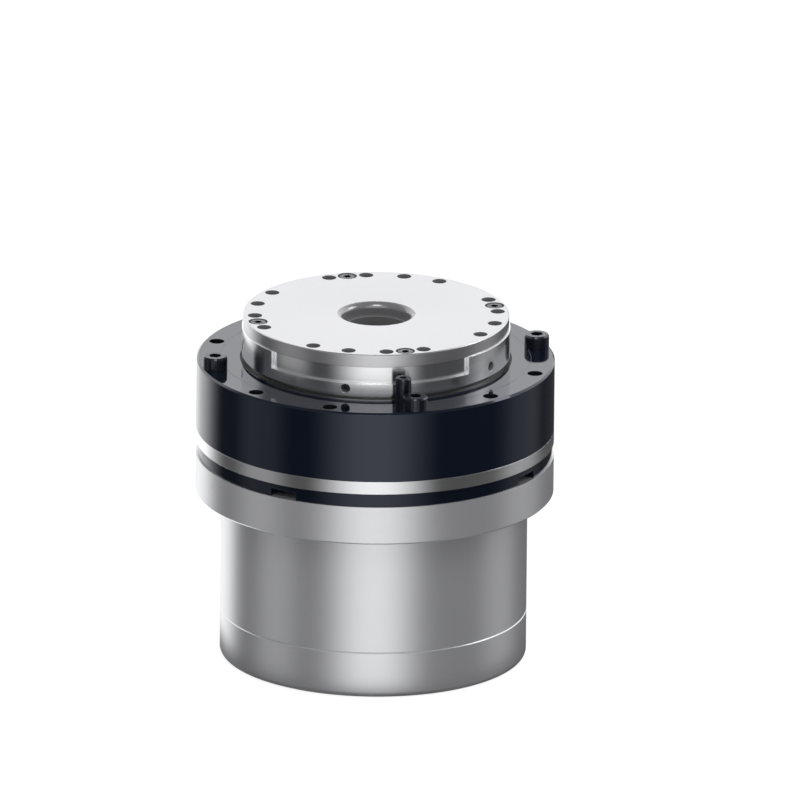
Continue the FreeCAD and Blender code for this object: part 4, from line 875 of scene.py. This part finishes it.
@dataclass
class Studio:
    """A pale floor, a room of soft panels, two lamps and the camera.

    Angles are in degrees, measured at the object. Polished sides see panels: those of the floor below
    the horizon, and those of the walls above it up to the plain ceiling, whose heights are sines of
    the angle above the horizon. The seam is a direction that no panel reaches. Between the contact
    distances from the axis a painted shadow dims the floor panels toward the base, as reflections see
    them. The camera sees the floor as an even glow with a share of its shaded paint.
    """

    azimuth: float = -14.0
    elevation: float = 18.35
    roll: float = 0.61
    width: float = 0.1787
    aim: Vector = field(default_factory=lambda: Vector((0.0, 0.0, 0.045)))
    slide_right: float = 5.63 * MM
    slide_up: float = 13.11 * MM
    distance: float = 1.2
    clip_end: float = 10.0
    floor_panels: tuple[Panel, ...] = (Panel(direction=0.0, reach=5.0, soft=41.0, level=1.18),
                                       Panel(direction=111.0, reach=6.0, soft=24.0, level=0.31),
                                       Panel(direction=-154.0, reach=8.0, soft=30.0, level=1.4),
                                       Panel(direction=-80.0, reach=6.0, soft=20.0, level=0.34))
    wall_panels: tuple[Panel, ...] = (Panel(direction=168.0, reach=64.0, soft=16.0, level=1.5),
                                      Panel(direction=-1.0, reach=20.0, soft=24.0, level=1.05))
    floor_dim: float = 0.06
    wall_dim: float = 0.3
    seam: float = 60.0
    horizon: float = 0.06
    ceiling_start: float = 0.50
    ceiling_full: float = 0.85
    ceiling: float = 0.2
    fill: float = 0.72
    lamp_power: float = 1.4
    lamps: tuple[Lamp, ...] = (Lamp("front_lamp", place=(-0.16, -0.56, 0.73), size=0.30),
                               Lamp("side_lamp", place=(0.74, -0.08, 0.55), size=0.36))
    floor_size: float = 4.0
    floor_drop: float = 0.1 * MM
    floor_paint: float = 0.8
    floor_glow: float = 0.86
    shadow_share: float = 0.30
    contact_shadow_start: float = 35.0 * MM
    contact_shadow_end: float = 48.0 * MM
    contact_shadow_level: float = 0.1

    def camera(self) -> None:
        """Set the camera square to the view, rolled a little as a hand-set tripod is."""
        around, above = math.radians(self.azimuth), math.radians(self.elevation)
        back = Vector((math.sin(around) * math.cos(above), -math.cos(around) * math.cos(above),
                       math.sin(above)))
        right = Vector((math.cos(around), math.sin(around), 0.0))
        up = back.cross(right)
        turn = Matrix.Rotation(math.radians(self.roll), 3, back)
        right, up = turn @ right, turn @ up
        place = self.aim + back * self.distance + right * self.slide_right + up * self.slide_up
        data = bpy.data.cameras.new("camera")
        data.type = "ORTHO"
        data.ortho_scale = self.width
        data.clip_end = self.clip_end
        camera = bpy.data.objects.new("camera", data)
        camera.matrix_world = Matrix.Translation(place) @ Matrix((right, up, back)).transposed().to_4x4()
        bpy.context.scene.collection.objects.link(camera)
        bpy.context.scene.camera = camera

    def tone(self, tree: bpy.types.NodeTree, direction: bpy.types.NodeSocket,
             panels: tuple[Panel, ...], dim: float) -> bpy.types.NodeSocket:
        """The tone that a set of panels gives a direction, as a colour socket.

        Args:
            tree: the node tree to add to.
            direction: the socket of the direction's vector.
            panels: the panels, which neither touch each other nor the seam.
            dim: the level between the panels.

        Returns:
            The colour socket of a ramp that goes once round the object from the seam.
        """
        groups = PAINTSHOP.groups
        split = tree.nodes.new("ShaderNodeSeparateXYZ")
        tree.links.new(direction, split.inputs[0])
        behind = groups.maths(tree, "MULTIPLY", split.outputs[1], -1.0)
        turn = groups.maths(tree, "ARCTAN2", split.outputs[0], behind)
        ahead = groups.maths(tree, "MULTIPLY_ADD", turn, 1.0 / math.tau, -(self.azimuth + self.seam) / 360.0)
        wrapped = groups.maths(tree, "WRAP", ahead, 1.0, 0.0)
        places: list[Point] = []
        for panel in panels:
            for side in (-1.0, 1.0):
                for edge, level in ((panel.reach, panel.level), (panel.reach + panel.soft, dim)):
                    places.append(((panel.direction + side * edge - self.seam) % 360.0 / 360.0, level))
        ramp = tree.nodes.new("ShaderNodeValToRGB")
        ramp.color_ramp.interpolation = "EASE"
        stops = ramp.color_ramp.elements
        while len(stops) < len(places):
            stops.new(0.5)
        for stop, (position, level) in zip(stops, sorted(places)):
            stop.position = position
            stop.color = (level, level, level, 1.0)
        tree.links.new(wrapped, ramp.inputs[0])
        return ramp.outputs[0]

    def world(self) -> None:
        """Light the room: white to the camera, panelled to reflections, and an even fill to the rest."""
        world = bpy.data.worlds.new("room")
        bpy.context.scene.world = world
        world.use_nodes = True
        tree = world.node_tree
        tree.nodes.clear()
        place = tree.nodes.new("ShaderNodeTexCoord")
        walls = self.tone(tree, place.outputs["Generated"], self.wall_panels, self.wall_dim)
        ground = self.tone(tree, place.outputs["Generated"], self.floor_panels, self.floor_dim)
        split = tree.nodes.new("ShaderNodeSeparateXYZ")
        tree.links.new(place.outputs["Generated"], split.inputs[0])
        level = tree.nodes.new("ShaderNodeMapRange")
        level.inputs["From Min"].default_value = -self.horizon
        level.inputs["From Max"].default_value = self.horizon
        tree.links.new(split.outputs[2], level.inputs["Value"])
        tone = PAINTSHOP.mix(tree, level.outputs[0], ground, walls)
        rise = tree.nodes.new("ShaderNodeMapRange")
        rise.inputs["From Min"].default_value = self.ceiling_start
        rise.inputs["From Max"].default_value = self.ceiling_full
        tree.links.new(split.outputs[2], rise.inputs["Value"])
        sky = PAINTSHOP.mix(tree, rise.outputs[0], tone, (self.ceiling, self.ceiling, self.ceiling))
        lit, seen, soft = (tree.nodes.new("ShaderNodeBackground") for _ in range(3))
        tree.links.new(sky, lit.inputs["Color"])
        seen.inputs["Color"].default_value = (1.0, 1.0, 1.0, 1.0)
        soft.inputs["Color"].default_value = (1.0, 1.0, 1.0, 1.0)
        soft.inputs["Strength"].default_value = self.fill
        choose, path = tree.nodes.new("ShaderNodeMixShader"), tree.nodes.new("ShaderNodeLightPath")
        shone = tree.nodes.new("ShaderNodeMixShader")
        end = tree.nodes.new("ShaderNodeOutputWorld")
        tree.links.new(path.outputs["Is Glossy Ray"], shone.inputs[0])
        tree.links.new(soft.outputs[0], shone.inputs[1])
        tree.links.new(lit.outputs[0], shone.inputs[2])
        tree.links.new(path.outputs["Is Camera Ray"], choose.inputs[0])
        tree.links.new(shone.outputs[0], choose.inputs[1])
        tree.links.new(seen.outputs[0], choose.inputs[2])
        tree.links.new(choose.outputs[0], end.inputs["Surface"])

    def floor(self) -> None:
        """Lay the pale floor, which keeps the object's shadow and lets reflections see the room, dimmed near
        the base by a painted shadow.
        """
        mesh = bmesh.new()
        bmesh.ops.create_grid(mesh, x_segments=8, y_segments=8, size=self.floor_size)
        bmesh.ops.translate(mesh, verts=mesh.verts, vec=(0.0, 0.0, -self.floor_drop))
        floor = settle(mesh, "floor")
        material = bpy.data.materials.new("pale_floor")
        material.use_nodes = True
        tree = material.node_tree
        tree.nodes.clear()
        place = tree.nodes.new("ShaderNodeTexCoord")
        far = tree.nodes.new("ShaderNodeVectorMath")
        far.operation = "LENGTH"
        tree.links.new(place.outputs["Object"], far.inputs[0])
        # Painted shadow: reflections see the room only dimly through the floor near the base.
        contact = tree.nodes.new("ShaderNodeMapRange")
        contact.interpolation_type = "SMOOTHSTEP"
        contact.inputs["From Min"].default_value = self.contact_shadow_start
        contact.inputs["From Max"].default_value = self.contact_shadow_end
        contact.inputs["To Min"].default_value = self.contact_shadow_level
        tree.links.new(far.outputs["Value"], contact.inputs["Value"])
        paint, clear, glow, dark = (tree.nodes.new(f"ShaderNode{kind}")
                                    for kind in ("BsdfDiffuse", "BsdfTransparent", "Emission", "Emission"))
        paint.inputs["Color"].default_value = (self.floor_paint, self.floor_paint, self.floor_paint, 1.0)
        tree.links.new(contact.outputs[0], clear.inputs["Color"])
        glow.inputs["Strength"].default_value = self.floor_glow
        dark.inputs["Strength"].default_value = 0.0
        shadow, shown, unseen, final = (tree.nodes.new(f"ShaderNode{kind}Shader")
                                        for kind in ("Mix", "Add", "Mix", "Mix"))
        shadow.inputs[0].default_value = self.shadow_share
        tree.links.new(dark.outputs[0], shadow.inputs[1])
        tree.links.new(paint.outputs[0], shadow.inputs[2])
        tree.links.new(shadow.outputs[0], shown.inputs[0])
        tree.links.new(glow.outputs[0], shown.inputs[1])
        path = tree.nodes.new("ShaderNodeLightPath")
        shiny = PAINTSHOP.groups.maths(tree, "MAXIMUM", path.outputs["Is Glossy Ray"],
                                       path.outputs["Is Transmission Ray"])
        tree.links.new(shiny, unseen.inputs[0])
        tree.links.new(paint.outputs[0], unseen.inputs[1])
        tree.links.new(clear.outputs[0], unseen.inputs[2])
        tree.links.new(path.outputs["Is Camera Ray"], final.inputs[0])
        tree.links.new(unseen.outputs[0], final.inputs[1])
        tree.links.new(shown.outputs[0], final.inputs[2])
        end = tree.nodes.new("ShaderNodeOutputMaterial")
        tree.links.new(final.outputs[0], end.inputs["Surface"])
        floor.data.materials.append(material)

    def hang(self, lamp: Lamp) -> None:
        """Hang a lamp so that it faces the object."""
        data = bpy.data.lights.new(lamp.name, "AREA")
        data.size = lamp.size
        data.energy = self.lamp_power
        hung = bpy.data.objects.new(lamp.name, data)
        hung.location = lamp.place
        hung.rotation_euler = (hung.location - self.aim).to_track_quat("Z", "Y").to_euler()
        bpy.context.scene.collection.objects.link(hung)

    def build(self) -> None:
        """Set the stage."""
        bpy.context.scene.view_settings.view_transform = "Standard"
        self.camera()
        self.world()
        self.floor()
        for lamp in self.lamps:
            self.hang(lamp)


def main() -> None:
    """Build the object's sub-assemblies in order, then the studio."""
    for assembly in (RearHousing(), BrakeAndMotor(), StrainWaveGear(), OutputStage(), Fasteners()):
        log.info("building %s", type(assembly).__name__)
        assembly.build()
    Studio().build()


if __name__ == "__main__":
    main()
